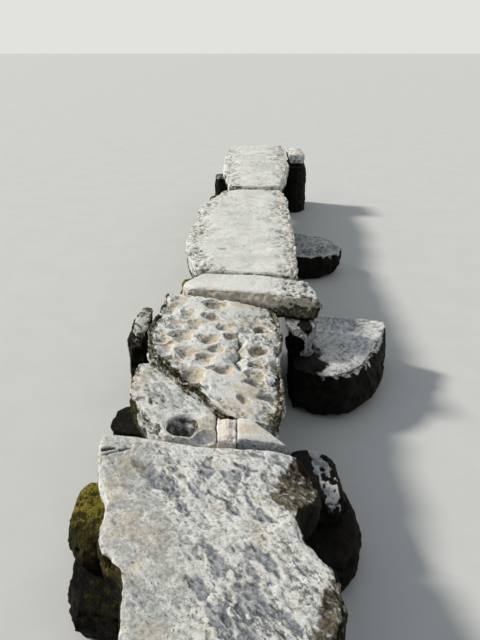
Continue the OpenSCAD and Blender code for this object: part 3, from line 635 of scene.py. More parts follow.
# %% Groups: ragged mask and stain
ragged, given, result = effect(
    "ragged mask", {"Mask": 0.0, "Ragged size": 0.03, "Hardness": 0.6, "Lace": 1.2}, ("Mask",)
)
per_metre = scale_for(ragged, given["Ragged size"])
spot = where_on_stone(ragged, **along_streaks)
tatter = cloud(ragged, spot, per_metre, detail=9.0, roughness=0.7, distortion=0.3)
frayed = times(ragged, minus(ragged, tatter, 0.5), given["Lace"])
lifted = plus(ragged, given["Mask"], frayed)
half = times(ragged, minus(ragged, 1.02, given["Hardness"]), 0.5)
torn = between(ragged, lifted, minus(ragged, 0.5, half), plus(ragged, 0.5, half))
inside = between(ragged, given["Mask"], 0.02, 0.12)
ragged.links.new(times(ragged, torn, inside), result["Mask"])

stain, given, result = effect(
    "two-tone stain", {"Dark": TONES["pit"], "Light": TONES["earth"], "Blotch": 0.04}, ("Color",)
)
blotches = cloud(stain, where_on_stone(stain), scale_for(stain, given["Blotch"]), detail=6.0, roughness=0.68)
two_tones = blended(stain, between(stain, blotches, 0.38, 0.62), given["Dark"], given["Light"])
stain.links.new(two_tones, result["Color"])
print("made", ragged.name, "and", stain.name)

# %% [markdown]
# ## Shared effect: moss coat
# Moss on a wet pier is yellow-green where the sun reaches its top and nearly black below. It hangs in tufts
# with dry straw between them, so the noise is drawn out downwards. The group gives that colour and a fuzzy
# height, and the material lays it over the stone where the moss mask says. The sun input says how lit the
# moss grows.

# %% Group: moss coat
moss_coat, given, result = effect("moss coat", {"Sun": 0.4, "Tuft size": 0.012}, ("Color", "Height"))
hanging = where_on_stone(moss_coat, stretch=(1, 2.2, 3.5))
tuft = cloud(moss_coat, hanging, scale_for(moss_coat, given["Tuft size"]), detail=7.0, roughness=0.8)
cushion = cloud(moss_coat, where_on_stone(moss_coat), 26.0, detail=5.0, roughness=0.65)
strands = cloud(moss_coat, where_on_stone(moss_coat, stretch=(1, 5, 9)), 170.0, detail=3.0, roughness=0.6)
sunlit = times(moss_coat, given["Sun"], 0.18)
both = times(moss_coat, plus(moss_coat, tuft, cushion), 0.5)
grown = plus(moss_coat, both, sunlit)
olive = between(moss_coat, grown, 0.47, 0.60)
moss_tone = blended(moss_coat, olive, TONES["moss_dark"], TONES["moss_olive"])
green = between(moss_coat, cushion, 0.46, 0.38, 0.0, given["Sun"])
moss_tone = blended(moss_coat, times(moss_coat, green, tuft), moss_tone, TONES["moss_green"])
moss_tone = blended(moss_coat, between(moss_coat, grown, 0.62, 0.70), moss_tone, TONES["moss_bright"])
dry = between(moss_coat, strands, 0.54, 0.62, 0.0, times(moss_coat, given["Sun"], 0.9))
straw = times(moss_coat, dry, between(moss_coat, cushion, 0.42, 0.52))
moss_tone = blended(moss_coat, straw, moss_tone, TONES["straw"])
moss_coat.links.new(moss_tone, result["Color"])
moss_coat.links.new(plus(moss_coat, tuft, plus(moss_coat, cushion, strands)), result["Height"])
print(moss_coat.name, "has", len(moss_coat.nodes), "nodes")

# %% [markdown]
# ## One recipe for every limestone finish
# All the stones come from the same beds, so their materials are one chain. Mottled stone comes first, then
# the grey, slate and ochre stains, the slate standing also for sky-lit shade in hollows, then the chalky
# crests, cavities and pocks darkened as painted shade, the darker stains with the near-black algae that
# also stands for shade, and moss last. What differs is handed in: the tones and how strong each layer is.
# Attribute nodes read the masks that carving stored on the mesh.

# %% New materials, stains and relief
def new_material(name):
    """A material with nodes: the material, its node tree and its shader."""
    material = bpy.data.materials.new(name)
    material.use_nodes = True
    return material, material.node_tree, material.node_tree.nodes["Principled BSDF"]


def mask_from_mesh(tree, name):
    """A mask that carving stored on the mesh."""
    node = tree.nodes.new("ShaderNodeAttribute")
    node.attribute_name = name
    return node.outputs["Fac"]


def stained(tree, tone, share, dark, light, blotch):
    """A colour with a share of a two-tone stain laid on it."""
    coat = place(tree, stain, dark=TONES[dark], light=TONES[light], blotch=blotch)["Color"]
    return blended(tree, share, tone, coat)


def bumped(tree, shader, height, distance, strength=1.0):
    """Shows a height as fine relief, as deep as the distance in metres."""
    bump = tree.nodes.new("ShaderNodeBump")
    bump.inputs["Strength"].default_value = strength
    bump.inputs["Distance"].default_value = distance
    tree.links.new(height, bump.inputs["Height"])
    tree.links.new(bump.outputs["Normal"], shader.inputs["Normal"])


print("helpers for materials are ready")

# %% Layers on the stone
FIRST_STAINS = [  # mask, dark tone, light tone, blotch, ragged size, hardness, lace, strength
    ("grey", "worn_dark", "worn", 0.014, 0.024, 0.55, 2.6, 0.72),
    # The slate stain is partly blue-grey stone and partly painted sky-lit shade in pits and hollows.
    ("slate", "slate_mid", "slate", 0.012, 0.014, 0.35, 3.0, 0.82),
    ("ochre", "ochre_dark", "ochre", 0.02, 0.035, 0.25, 1.2, 0.8),
]
LAST_STAINS = [
    ("brown", "brown_dark", "brown", 0.016, 0.02, 0.7, 2.2, 0.95),
    ("pit", "pit", "earth", 0.012, 0.02, 0.3, 1.2, 0.85),
    # The algae layer is real algae and also painted shade, both in one near-black tone.
    ("algae_and_shade", "algae_and_shade", "algae_and_shade_brown", 0.045, 0.045, 0.55, 1.2, 1.0),
]


def add_stains(tree, tone, stains, torn):
    """Lays each stain on the colour where its torn mask says, and keeps that mask for later."""
    for mask, dark, light, blotch, size, hardness, lace, strength in stains:
        soft = mask_from_mesh(tree, mask)
        torn[mask] = place(tree, ragged, mask=soft, ragged_size=size, hardness=hardness, lace=lace)["Mask"]
        tone = stained(tree, tone, times(tree, torn[mask], strength), dark, light, blotch)
    return tone


def add_relief(tree, tone, crest, cavity, pock_size, pocked):
    """Lays chalk on crests and painted shade in cavities and pocks; returns the colour and the pocks."""
    standing = times(tree, mask_from_mesh(tree, "crest"), crest)
    tone = blended(tree, standing, tone, TONES["chalk"])
    cavity_shade = times(tree, mask_from_mesh(tree, "cavity"), cavity)
    tone = stained(tree, tone, cavity_shade, "earth", "slate_dark", 0.06)
    amount = between(tree, mask_from_mesh(tree, "rough"), 0.0, 1.0, 0.2 * pocked, pocked)
    tiny = place(tree, pocks, pock_size=pock_size, amount=amount)
    # The pocks are too small to carve, so the shade inside them is painted dark.
    tone = stained(tree, tone, times(tree, tiny["Mask"], 0.65), "pit", "slate_dark", 0.03)
    return tone, tiny


print("stains:", ", ".join(layer[0] for layer in FIRST_STAINS + LAST_STAINS))

# %% Limestone material
DRY_ROUGHNESS, WET_ROUGHNESS = 0.93, 0.62
GRAIN_SHARE, SLATE_SINKS, FUZZ_SHARE = 0.9, 0.55, 2.5  # how much each adds to the height


def limestone(name, pale="bleached", second="cream", third="worn", patch=0.1, second_share=0.45,
              third_share=0.45, speckle=0.8, pock_size=0.011, pocked=0.9, sunny=0.0, crest=0.6, cavity=0.5):
    """A material for one limestone finish."""
    material, tree, shader = new_material(name)
    shader.inputs["Specular IOR Level"].default_value = 0.08
    stone = place(tree, mottle, pale=TONES[pale], second=TONES[second], third=TONES[third], patch_size=patch,
                  second_share=second_share, third_share=third_share, speckle=speckle)
    torn = {}
    tone = add_stains(tree, stone["Color"], FIRST_STAINS, torn)
    tone, tiny = add_relief(tree, tone, crest, cavity, pock_size, pocked)
    tone = add_stains(tree, tone, LAST_STAINS, torn)
    growth = place(tree, moss_coat, sun=maths(tree, "MAXIMUM", mask_from_mesh(tree, "lit"), sunny))
    soft = mask_from_mesh(tree, "moss")
    moss = place(tree, ragged, mask=soft, ragged_size=0.022, hardness=0.7, lace=2.0)["Mask"]
    tree.links.new(blended(tree, moss, tone, growth["Color"]), shader.inputs["Base Color"])
    gloss = between(tree, torn["algae_and_shade"], 0.0, 1.0, DRY_ROUGHNESS, WET_ROUGHNESS)
    tree.links.new(gloss, shader.inputs["Roughness"])

    height = plus(tree, times(tree, stone["Height"], GRAIN_SHARE), tiny["Height"])
    height = minus(tree, height, times(tree, torn["slate"], SLATE_SINKS))
    fuzz = times(tree, times(tree, growth["Height"], moss), FUZZ_SHARE)
    bumped(tree, shader, plus(tree, height, fuzz), distance=0.006, strength=0.9)
    return material


print("roughness dry and wet:", DRY_ROUGHNESS, WET_ROUGHNESS)

# %% Limestone finishes
finishes = {
    "pale_limestone": limestone("pale limestone", "chalk", second_share=0.42, speckle=1.2, pock_size=0.009,
                                sunny=0.4),
    "sunlit_limestone": limestone("sunlit limestone", "chalk", patch=0.14, third_share=0.35, speckle=0.6,
                                  pocked=0.7, sunny=0.5, crest=0.7, cavity=0.25),
    "far_limestone": limestone("foot-worn limestone", "chalk", "bleached", "cream", patch=0.12,
                               second_share=0.5, third_share=0.34, speckle=0.6, pock_size=0.014, cavity=0.45),
    "cream_limestone": limestone("cream limestone", "chalk", "bleached", "cream", patch=0.2,
                                 third_share=0.36, speckle=0.6, pock_size=0.009, pocked=0.5, cavity=0.3),
    "grey_limestone": limestone("broken grey limestone", "worn", "shade_stone", "lichen", patch=0.12,
                                crest=0.3),
    # Painted light: the cutwater's top lies in the bridge's shadow, so these tones are paler than its own to
    # look half lit.
    "flood_and_lit_limestone": limestone("flood-scoured limestone with painted light", "chalk", "bleached", "slate", patch=0.14,
                                 speckle=0.45, crest=0.7, cavity=0.3),
    "outlying_limestone": limestone("shaded grey limestone", "worn", "shade_stone", "slate", patch=0.14,
                                    second_share=0.5, third_share=0.4, crest=0.5),
    "mossy_limestone": limestone("mossy limestone", "worn", "lichen", "shade_stone", patch=0.12, crest=0.2),
    "wet_limestone": limestone("wet limestone", "shade_stone", "lichen", "worn", patch=0.12, crest=0.15),
}
print("limestone finishes:", len(finishes))

# %% [markdown]
# ## What all the slabs share
# A slab's flanks are rougher than its face, stained with algae towards the water and darkened underneath with
# painted shade.
# Its rim is chipped by frost and floods. One helper carves both, and each slab adds its own face.

# %% Rough flanks and chipped rims
def rough_flanks(stone, algae_top, depth=0.014, chip=0.012, mossy=0.5, end_guard=0.02):
    """Carves and stains a slab's sides and chips its rim; returns the mask of the sides.

    Depth and chip are in metres. The end guard makes the chips smaller towards the two ends.
    """
    flank = fade(0.25, 0.75, np.abs(stone.up))
    stone.karst(flank, size=0.06, depth=depth, seed=11)
    left, right, near, far = stone.sides
    rim = fade(0, 0.035, np.minimum(np.minimum(left, right), np.minimum(near, far) + end_guard))
    stone.karst(rim * ease(-0.6, 0.3, stone.crags(0.1, seed=14)), size=0.045, depth=chip, seed=15)
    line = algae_top + 0.03 * stone.crags(0.1, seed=17)
    low = fade(line - 0.03, line + 0.03, stone.z) * fade(0.5, 0.8, stone.up)
    # The algae tone goes on the low band by the water, and on the underside as painted shade.
    stone.paint("algae_and_shade", np.maximum(low, 0.85 * fade(-0.5, 0.3, stone.up)))
    stone.paint("moss", mossy * flank * ease(-0.1, 0.6, stone.crags(0.12, seed=19)))
    stone.paint("rough", np.maximum(flank, rim) * 0.8)
    return flank


print("shared cuts are ready")

# %% [markdown]
# ## The near slab
# The nearest slab shows most. Its left third is worn smooth and grey. To the right the rock is rough and
# cream, cut by slanting streaks of small pits painted slate-grey as the sky-lit shade in them, and its right
# shoulder is brown with lichen. The streaks are pits carved in stretched coordinates, and the few marks that
# stand out are placed one by one.

# %% Near slab: its face
STREAK = {"turn": STREAK_TURN, "ratio": STREAK_RATIO}
SMOOTH_Y = [-4.1, -2.49, -2.28, -2.12, -1.93, -1.65]  # the smooth part ends along this line
SMOOTH_X = [-0.27, -0.29, -0.34, -0.34, -0.37, -0.47]


def near_face(stone):
    """Smooth grey stone on the left, and rough cream stone on the right in streaks of pits painted slate-grey
    as shade.
    """
    bound = np.interp(stone.y, SMOOTH_Y, SMOOTH_X)
    rough = ease(-0.06, 0.06, stone.x - bound + 0.06 * stone.crags(0.2, seed=1)) * stone.face
    smooth = stone.face * (1 - rough)
    crowd = ease(-0.45, 0.45, stone.crags(0.15, seed=6, **STREAK))
    holes = stone.karst(rough * (0.35 + 0.65 * crowd), size=0.036, depth=0.011, seed=2, **STREAK)
    stone.karst(rough, size=0.020, depth=0.005, seed=90, **STREAK)
    stone.karst(smooth * 0.35, size=0.026, depth=0.006, seed=30, **STREAK)
    grain = 0.0015 * stone.crags(0.02, seed=9, octaves=2)
    stone.cut(stone.face * (0.003 * (1 + stone.crags(0.12, seed=8)) + grain))
    stone.paint("rough", np.maximum(rough * (0.45 + 0.55 * crowd), 0.25 * stone.face))
    stone.paint("grey", 0.62 * smooth)
    stone.paint("ochre", 0.44 * smooth * ease(-0.2, 0.4, stone.crags(0.09, seed=33)))
    stone.paint("slate", 0.35 * smooth * ease(0.0, 0.6, stone.crags(0.08, seed=36)))
    # Painted shade: the pits in the streaks take the slate tone of sky-lit shade.
    stone.paint("slate", 0.62 * holes * crowd)


print("the smooth part ends between x", min(SMOOTH_X), "and", max(SMOOTH_X))

# %% Near slab: single marks
near_slate_and_shade = [  # x, y, half length, half width
    (-0.21, -2.20, 0.10, 0.035), (-0.24, -2.31, 0.06, 0.03), (-0.07, -2.36, 0.11, 0.04),
    (0.01, -2.42, 0.07, 0.03), (-0.17, -2.41, 0.08, 0.03), (-0.11, -2.46, 0.07, 0.03),
    (-0.05, -2.21, 0.10, 0.03), (-0.18, -1.95, 0.08, 0.022), (-0.12, -1.77, 0.07, 0.025),
    (-0.15, -1.83, 0.06, 0.025), (-0.23, -1.75, 0.06, 0.03), (-0.02, -1.83, 0.06, 0.022),
    (-0.05, -1.97, 0.10, 0.024), (-0.33, -1.96, 0.06, 0.02), (-0.27, -1.87, 0.06, 0.02),
    (-0.30, -2.62, 0.12, 0.04), (-0.10, -2.80, 0.14, 0.04), (-0.20, -3.10, 0.14, 0.05),
]
near_stains = [(-0.293, -2.109, 0.034), (-0.24, -2.05, 0.028), (-0.14, -2.155, 0.030)]  # x, y, half width
near_cracks = [  # x, y, half length, half width
    (-0.645, -1.634, 0.045, 0.012), (-0.625, -1.664, 0.045, 0.010), (-0.575, -1.640, 0.035, 0.008),
]


def slate_and_shade_patches(stone):
    """Patches where the streaks crowd and one long trough towards the far left corner, painted slate-grey as
    stone and as sky-lit shade.
    """
    for x, y, length, width in near_slate_and_shade:
        patch = stone.face * ease(0, 0.6, stone.dish(x, y, length, width, turn=STREAK_TURN, warp=0.035))
        stone.karst(patch, size=0.022, depth=0.008, seed=40, **STREAK)
        # The slate here is partly the stone's blue-grey and partly painted sky-lit shade in the pits.
        stone.paint("slate", 0.66 * patch)
        stone.paint("rough", patch)
    trough = stone.dish(-0.42, -1.80, 0.17, 0.045, turn=-47, warp=0.014) * stone.face
    stone.cut(0.012 * trough)
    stone.karst(trough, size=0.03, depth=0.006, seed=50, **STREAK)
    # Painted shade along the trough.
    stone.paint("slate", 0.7 * ease(0.1, 0.7, trough))


def broken_marks(stone):
    """Brown stains, the broken far left corner with its cracks, and a notch in the left edge."""
    for x, y, size in near_stains:
        ring = stone.dish(x, y, size, size * 0.9, turn=20, warp=0.012)
        stone.cut(0.003 * ease(0, 0.3, ring))
        stone.paint("brown", 0.30 * ease(0, 0.5, ring))
    corner = ease(0, 0.6, stone.dish(-0.61, -1.64, 0.09, 0.045, turn=8, warp=0.03)) * stone.face
    notch = stone.dish(-0.549, -2.192, 0.024, 0.028, turn=0, warp=0.006) * (stone.up > 0)
    broken = stone.karst(corner, size=0.032, depth=0.016, seed=60, turn=10, ratio=2)
    stone.cut(0.022 * np.sqrt(notch))
    stone.paint("brown", 0.7 * broken)
    stone.paint("pit", 0.9 * ease(0.1, 0.6, notch))
    for x, y, length, width in near_cracks:
        crack = stone.dish(x, y, length, width, turn=5, warp=0.012) * (stone.up > 0)
        stone.cut(0.012 * np.sqrt(crack))
        stone.paint("pit", ease(0.1, 0.5, crack))


print("single marks:", len(near_slate_and_shade), "patches,", len(near_stains), "stains,", len(near_cracks), "cracks")

# %% Near slab: its left side and its right shoulder
def left_side(stone):
    """Algae down the near part of the left side, and sunlit moss under the bulge in its middle."""
    left = (1 - stone.face) * (stone.x < -0.4)
    under_bulge = left * ease(-2.33, -2.27, stone.y) * fade(-2.15, -2.09, stone.y)
    under_bulge *= ease(0.38, 0.42, stone.z + 0.02 * stone.crags(0.05, seed=35))
    stone.paint("algae_and_shade", left * fade(-2.11, -1.95, stone.y + 0.06 * stone.crags(0.08, seed=37)))
    stone.paint("moss", under_bulge)
    stone.paint("lit", 0.5 * under_bulge)


def right_shoulder(stone):
    """Brown lichen and moss over the right shoulder, and painted shade in the algae tone where the side turns
    down.
    """
    low_right = 0.75 * stone.dish(0.15, -2.42, 0.24, 0.11, turn=80, warp=0.05)
    shoulder = np.maximum(stone.dish(0.13, -1.84, 0.20, 0.15, turn=60, warp=0.04), low_right)
    shoulder = np.maximum(shoulder, 0.35 * fade(0.0, 0.045, stone.sides[1]))
    shoulder = ease(0, 0.6, shoulder) * (stone.up > 0)
    stone.karst(stone.face * shoulder, size=0.034, depth=0.010, seed=70)
    stone.paint("brown", 0.68 * shoulder)
    stone.paint("moss", 0.35 * shoulder * ease(0.0, 0.6, stone.crags(0.08, seed=25)))
    # Painted shade: the sides facing right and towards the near end face away from the light, so the algae
    # tone darkens them.
    turned = np.maximum(stone.normals[:, 0], -stone.normals[:, 1]) * (stone.x > -0.1)
    dark = ease(0.2, 0.55, turned) * ease(-0.45, 0.25, stone.crags(0.1, seed=23) - 8 * (stone.z - 0.475))
    stone.paint("algae_and_shade", dark)


def near_recipe(stone):
    rough_flanks(stone, algae_top=0.36, mossy=0.4, end_guard=0)
    near_face(stone)
    slate_and_shade_patches(stone)
    broken_marks(stone)
    left_side(stone)
    right_shoulder(stone)


carve("near_slab", "pale_limestone", finishes["pale_limestone"], near_recipe, voxel=0.0105, rounds=2,
      seed=100, finer=lambda centre, normal: normal.z > 0.35 and centre.y > -2.75)
print("near slab triangles:", carved["near_slab"])

# %% [markdown]
# ## The pitted slab
# This slab is the bridge's best piece: rain has dissolved it into rows of thumb-deep oval pits with warm
# ochre floors, and a crack runs along it. The CAD model holds the big pits, so the same list of places is
# used here to sharpen each rim, deepen it on the side towards the light and warm its floor. The ochre is
# stronger on the lit wall of each pit as painted light, and the shaded wall is painted slate and brown as
# its shade.

# %% Pitted slab: its solution pits
PITTED_MIDDLE, PITTED_WIDTH = -0.250, 0.71
PITTED_NEAR, PITTED_LENGTH = -1.4745, 1.12
NEAR_SLOPE, CROSS_SLOPE = -math.tan(math.radians(10)), -math.tan(math.radians(11))
PIT_RADIUS = 0.046
pit_places = [  # share across, share along, size
    (-0.57, 0.7, 1.15), (-0.74, 0.57, 1), (-0.45, 0.58, 1.1), (-0.68, 0.46, 0.95), (-0.37, 0.43, 1.2),
    (-0.1, 0.57, 1), (0.03, 0.49, 0.8), (-0.13, 0.4, 1), (-0.28, 0.28, 1.5), (0.13, 0.33, 1.1),
    (0.45, 0.71, 0.8), (0.68, 0.75, 1), (-0.72, 0.86, 1.1), (-0.6, 0.93, 0.9), (-0.03, 0.93, 1.4),
    (-0.05, 0.8, 0.8), (-0.3, 0.7, 0.9), (0.24, 0.62, 0.8), (0.65, 0.54, 1), (0.82, 0.43, 0.9),
    (0.6, 0.41, 0.9), (0.56, 0.27, 1), (0.72, 0.19, 1), (-0.55, 0.35, 0.8), (0.83, 0.63, 0.8),
    (-0.42, 0.8, 0.9), (0.4, 0.14, 0.7), (0.58, 0.34, 0.8), (0.1, 0.7, 0.9),
]


def solution_pits(stone):
    """Sharpens and deepens the pits; returns how deep in a pit each point lies, from 0 to 1."""
    wander = stone.wander(0.026, 0.08, seed=31) + stone.wander(0.013, 0.03, seed=41)
    hollow = np.zeros(len(stone.x))
    for number, (across, along, size) in enumerate(pit_places):
        x = PITTED_MIDDLE + across * PITTED_WIDTH / 2
        slope = NEAR_SLOPE + along * (CROSS_SLOPE - NEAR_SLOPE)
        y = PITTED_NEAR + along * PITTED_LENGTH + slope * (x - EYE[0])
        away = stone.points[:, :2] + wander - (x, y)
        away /= PIT_RADIUS * size * np.array([1.15 + 0.2 * (number % 2), 0.85])
        lit_side = ease(-0.7, 0.5, away[:, 0])
        bowl = np.clip(1 - (away ** 2).sum(axis=1), 0, 1) * stone.face
        stone.cut((0.009 + 0.003 * (number % 4)) * bowl ** (0.5 + 0.8 * lit_side))
        # Painted light and shade: more ochre on the lit wall, and slate and brown on the shaded wall.
        stone.paint("ochre", ease(0.02, 0.4, bowl) * (0.4 + 0.4 * lit_side))
        stone.paint("slate", ease(0.02, 0.4, bowl) * (1 - lit_side) * 0.6)
        stone.paint("brown", ease(0.3, 0.9, bowl) * (1 - lit_side) * (0.35 + 0.15 * (number % 3)))
        hollow = np.maximum(hollow, bowl)
    return hollow


print("solution pits:", len(pit_places))

# %% Pitted slab: the face around the pits
def pitted_face(stone, hollow):
    """Karst that is rougher towards the sides and calmer in two places, warm here and bluish there."""
    face = stone.face
    right, left = fade(0.02, 0.26, stone.sides[1]), fade(0.02, 0.16, stone.sides[0])
    calm = np.maximum(stone.dish(-0.15, -1.26, 0.18, 0.12, turn=-50, warp=0.03),
                      stone.dish(-0.17, -0.40, 0.22, 0.08, turn=-10, warp=0.03))
    calm = np.maximum(ease(0, 0.4, calm), 0.5 * ease(0, 0.5, stone.crags(0.2, seed=12)))
    rough = np.clip(0.5 + right + left - 0.8 * calm, 0.05, 1) * face
    holes = stone.karst(rough * (1 - 0.6 * hollow), size=0.045, depth=0.014, seed=2, turn=-35, ratio=1.6)
    stone.karst(rough, size=0.022, depth=0.006, seed=90, turn=-35, ratio=1.6)
    ridges = 1 - np.abs(stone.crags(0.10, seed=7, octaves=3, turn=-35, ratio=1.5))
    stone.cut(face * 0.006 * (1 + stone.crags(0.13, seed=8) + ridges))
    stone.paint("rough", 0.85 * rough)
    warm = ease(-0.3, 0.4, stone.crags(0.2, seed=9))
    stone.paint("ochre", 0.55 * holes * warm)
    bluish = 0.3 * face * (1 - rough) * ease(-0.1, 0.6, stone.crags(0.14, seed=10))
    stone.paint("slate", np.maximum(0.4 * holes * (1 - warm), bluish))


print("the pits spread over", PITTED_WIDTH, "by", PITTED_LENGTH, "metres")

# %% Pitted slab: its crack, its shaggy sides and the joint
CRACK_X, CRACK_HALF_WIDTH = -0.129, 0.007
JOINT_X, JOINT_SLOPE, JOINT_STEP = -0.20, 0.72, 1.23  # the step is the joint's length per metre along y


def long_crack(stone):
    """A wavy crack along the walkway."""
    line = CRACK_X + 0.008 * np.sin(stone.y * 52) + 0.008 * lumps(stone.points, 0.03, seed=241)
    crack = np.clip(1 - np.abs(stone.x - line) / CRACK_HALF_WIDTH, 0, 1) * stone.face
    crack *= ease(-1.09, -1.03, stone.y) * fade(-0.80, -0.70, stone.y)
    stone.cut(0.012 * crack)
    stone.paint("pit", 0.8 * ease(0.2, 0.7, crack))


def shaggy_sides(stone):
    """Crumbling brown and mossy stone along both sides."""
    shaggy = np.maximum(fade(0.0, 0.09, stone.sides[1] + 0.05 * stone.crags(0.1, seed=51)),
                        fade(0.01, 0.08, stone.sides[0] + 0.05 * stone.crags(0.1, seed=53))) * (stone.up > 0)
    stone.karst(shaggy * stone.face, size=0.04, depth=0.018, seed=56)
    stone.paint("brown", 0.66 * shaggy)
    stone.paint("moss", 0.55 * shaggy * ease(0, 0.5, stone.crags(0.08, seed=57)))


def joint_moss(stone):
    """Moss along the slanting joint between the hollowed slab and the pitted slab, painted as sunlit moss."""
    away = np.abs((stone.x - JOINT_X) + JOINT_SLOPE * (stone.y - PITTED_NEAR)) / JOINT_STEP
    line = fade(0.0, 0.034, away) * (stone.y > -1.44)
    stone.paint("moss", 0.7 * line * ease(-0.5, 0.2, stone.crags(0.07, seed=55)))
    # Painted light: the lit mask makes this moss as bright as sunlit moss.
    stone.paint("lit", 0.6 * line)


def pitted_recipe(stone):
    rough_flanks(stone, algae_top=0.38, depth=0.024, chip=0.022, mossy=0.75)
    pitted_face(stone, solution_pits(stone))
    long_crack(stone)
    shaggy_sides(stone)
    joint_moss(stone)


carve("pitted_slab", "pale_limestone", finishes["sunlit_limestone"], pitted_recipe, voxel=0.0085, rounds=2,
      seed=200, finer=lambda centre, normal: normal.z > 0.25)
print("pitted slab triangles:", carved["pitted_slab"])

# %% [markdown]
# ## The hollowed slab, its mortar and the wedge
# Between the two long slabs lies a small one with a solution bowl as wide as a hand, dark with gravel at
# the bottom, and a shallow smooth one beside it. A patch of pinkish lime mortar and a wedge of smooth
# speckled stone close the rest of the joint. Mortar isn't limestone, so it gets a material of its own from
# the shared effects.

# %% Lime mortar
lime_mortar, tree, shader = new_material("lime mortar")
shader.inputs["Roughness"].default_value = 0.95
sand = cloud(tree, where_on_stone(tree), 300.0, detail=4.0, roughness=0.8)
mortar_tone = place(tree, stain, dark=TONES["mortar_dark"], light=TONES["mortar"], blotch=0.03)["Color"]
mortar_tone = blended(tree, between(tree, sand, 0.44, 0.32), mortar_tone, TONES["ochre_dark"])
tiny = place(tree, pocks, pock_size=0.007, amount=0.8)
mortar_tone = blended(tree, times(tree, tiny["Mask"], 0.5), mortar_tone, TONES["earth"])
tree.links.new(mortar_tone, shader.inputs["Base Color"])
bumped(tree, shader, plus(tree, sand, tiny["Height"]), distance=0.003)
print("made", lime_mortar.name)

# %% Hollowed slab: its bowl, scoop and face
def hollowed_face(stone):
    """The deep dark bowl, the shallow smooth scoop beside it, and pitted stone around both."""
    face = ease(0.3, 0.7, stone.up)
    bowl = stone.dish(-0.362, -1.510, 0.070, 0.054, turn=0, warp=0.008)
    scoop = stone.dish(-0.268, -1.585, 0.075, 0.062, turn=20, warp=0.008)
    basin = stone.dish(-0.37, -1.50, 0.15, 0.12, turn=-20, warp=0.03)
    ledge = stone.dish(-0.43, -1.32, 0.17, 0.08, turn=-50, warp=0.03)
    smooth = ease(0, 0.2, np.maximum(bowl, scoop))
    rough = face * (1 - smooth) * ease(-0.1, 0.5, stone.crags(0.2, seed=1) + 0.5 - 3 * stone.sides[0])
    holes = stone.karst(rough, size=0.045, depth=0.009, seed=2, turn=-50, ratio=1.8)
    ridges = 1 - np.abs(stone.crags(0.09, seed=6, octaves=3, turn=-50, ratio=2.0))
    stone.cut(face * (1 - smooth) * 0.005 * ridges)
    sunk = 0.012 * np.sqrt(ease(0.0, 0.6, bowl)) + 0.007 * scoop + 0.010 * ledge + 0.008 * basin
    stone.cut(face * sunk)
    stone.karst(face * ease(0.2, 0.6, bowl), size=0.018, depth=0.0015, seed=8)
    stone.paint("rough", np.maximum(0.45 * rough, 0.15 * face))
    bluish = 0.35 * ease(0, 0.6, stone.crags(0.14, seed=5))
    stone.paint("slate", face * np.maximum(bluish, 0.55 * ease(0, 0.3, scoop)))
    stone.paint("slate", np.maximum(0.35 * face * ease(0, 0.5, ledge), 0.35 * holes))
    stone.paint("grey", face * np.maximum(0.45, ease(0.05, 0.3, bowl)))
    stone.paint("brown", face * ease(0.05, 0.4, bowl) * 0.6)
    stone.paint("pit", face * ease(0.15, 0.5, bowl) * (0.56 + 0.1 * lumps(stone.points, 0.012, seed=306)))


print("the face of the hollowed slab is ready")

# %% Hollowed slab: small dents and edges
hollowed_dents = [  # x, y, size
    (-0.475, -1.515, 0.022), (-0.535, -1.442, 0.032), (-0.536, -1.235, 0.028), (-0.499, -1.349, 0.024),
    (-0.548, -1.340, 0.020), (-0.469, -1.309, 0.018),
]


def small_dents(stone):
    """Small slanting dents, brown inside."""
    for x, y, size in hollowed_dents:
        dent = stone.dish(x, y, 1.3 * size, 0.8 * size, turn=-50, warp=0.024)
        stone.cut(0.008 * np.sqrt(dent))
        stone.paint("brown", ease(0.0, 0.5, dent) * 0.45)
        stone.paint("pit", ease(0.3, 0.9, dent) * 0.3)


def hollowed_edges(stone, flank):
    """Shaggy left edge and far tip, and moss instead of algae on the far part of the left side."""
    shaggy = fade(0, 0.045, stone.sides[0] + 0.03 * stone.crags(0.08, seed=7)) * (stone.up > 0)
    far_tip = ease(-1.22, -1.10, stone.y + 0.06 * stone.crags(0.1, seed=75)) * (stone.up > 0)
    stone.karst(np.maximum(shaggy, 0.5 * far_tip), size=0.036, depth=0.013, seed=9)
    stone.paint("brown", np.maximum(0.5 * shaggy, 0.25 * far_tip))
    far_part = ease(-1.50, -1.38, stone.y)
    left_flank = flank * (stone.sides[0] < 0.06) * far_part
    stone.masks["algae_and_shade"] *= np.clip(far_part + fade(0.38, 0.44, stone.z), 0, 1)
    growth = np.maximum(0.4 * shaggy * far_part, 0.75 * left_flank)
    stone.paint("moss", growth * ease(-0.4, 0.3, stone.crags(0.1, seed=71)))
    joint_moss(stone)


def hollowed_recipe(stone):
    flank = rough_flanks(stone, algae_top=0.40, depth=0.016, chip=0.012, mossy=0.0)
    hollowed_face(stone)
    small_dents(stone)
    hollowed_edges(stone, flank)


carve("hollowed_slab", "pale_limestone", finishes["sunlit_limestone"], hollowed_recipe, voxel=0.008,
      rounds=2, seed=300, finer=lambda centre, normal: normal.z > 0.1)
print("hollowed slab triangles:", carved["hollowed_slab"])

# %% Mortar and wedge
def mortar_recipe(stone):
    squeezed_out = ease(0.2, 0.7, np.abs(stone.normals[:, 0])) * ease(0.42, 0.50, stone.z)
    swelling = 0.006 + 0.005 * stone.crags(0.022, seed=3, octaves=3)
    stone.cut(0.003 * stone.crags(0.04, seed=0) - squeezed_out * swelling)
    stone.karst(stone.face, size=0.016, depth=0.005, seed=1)


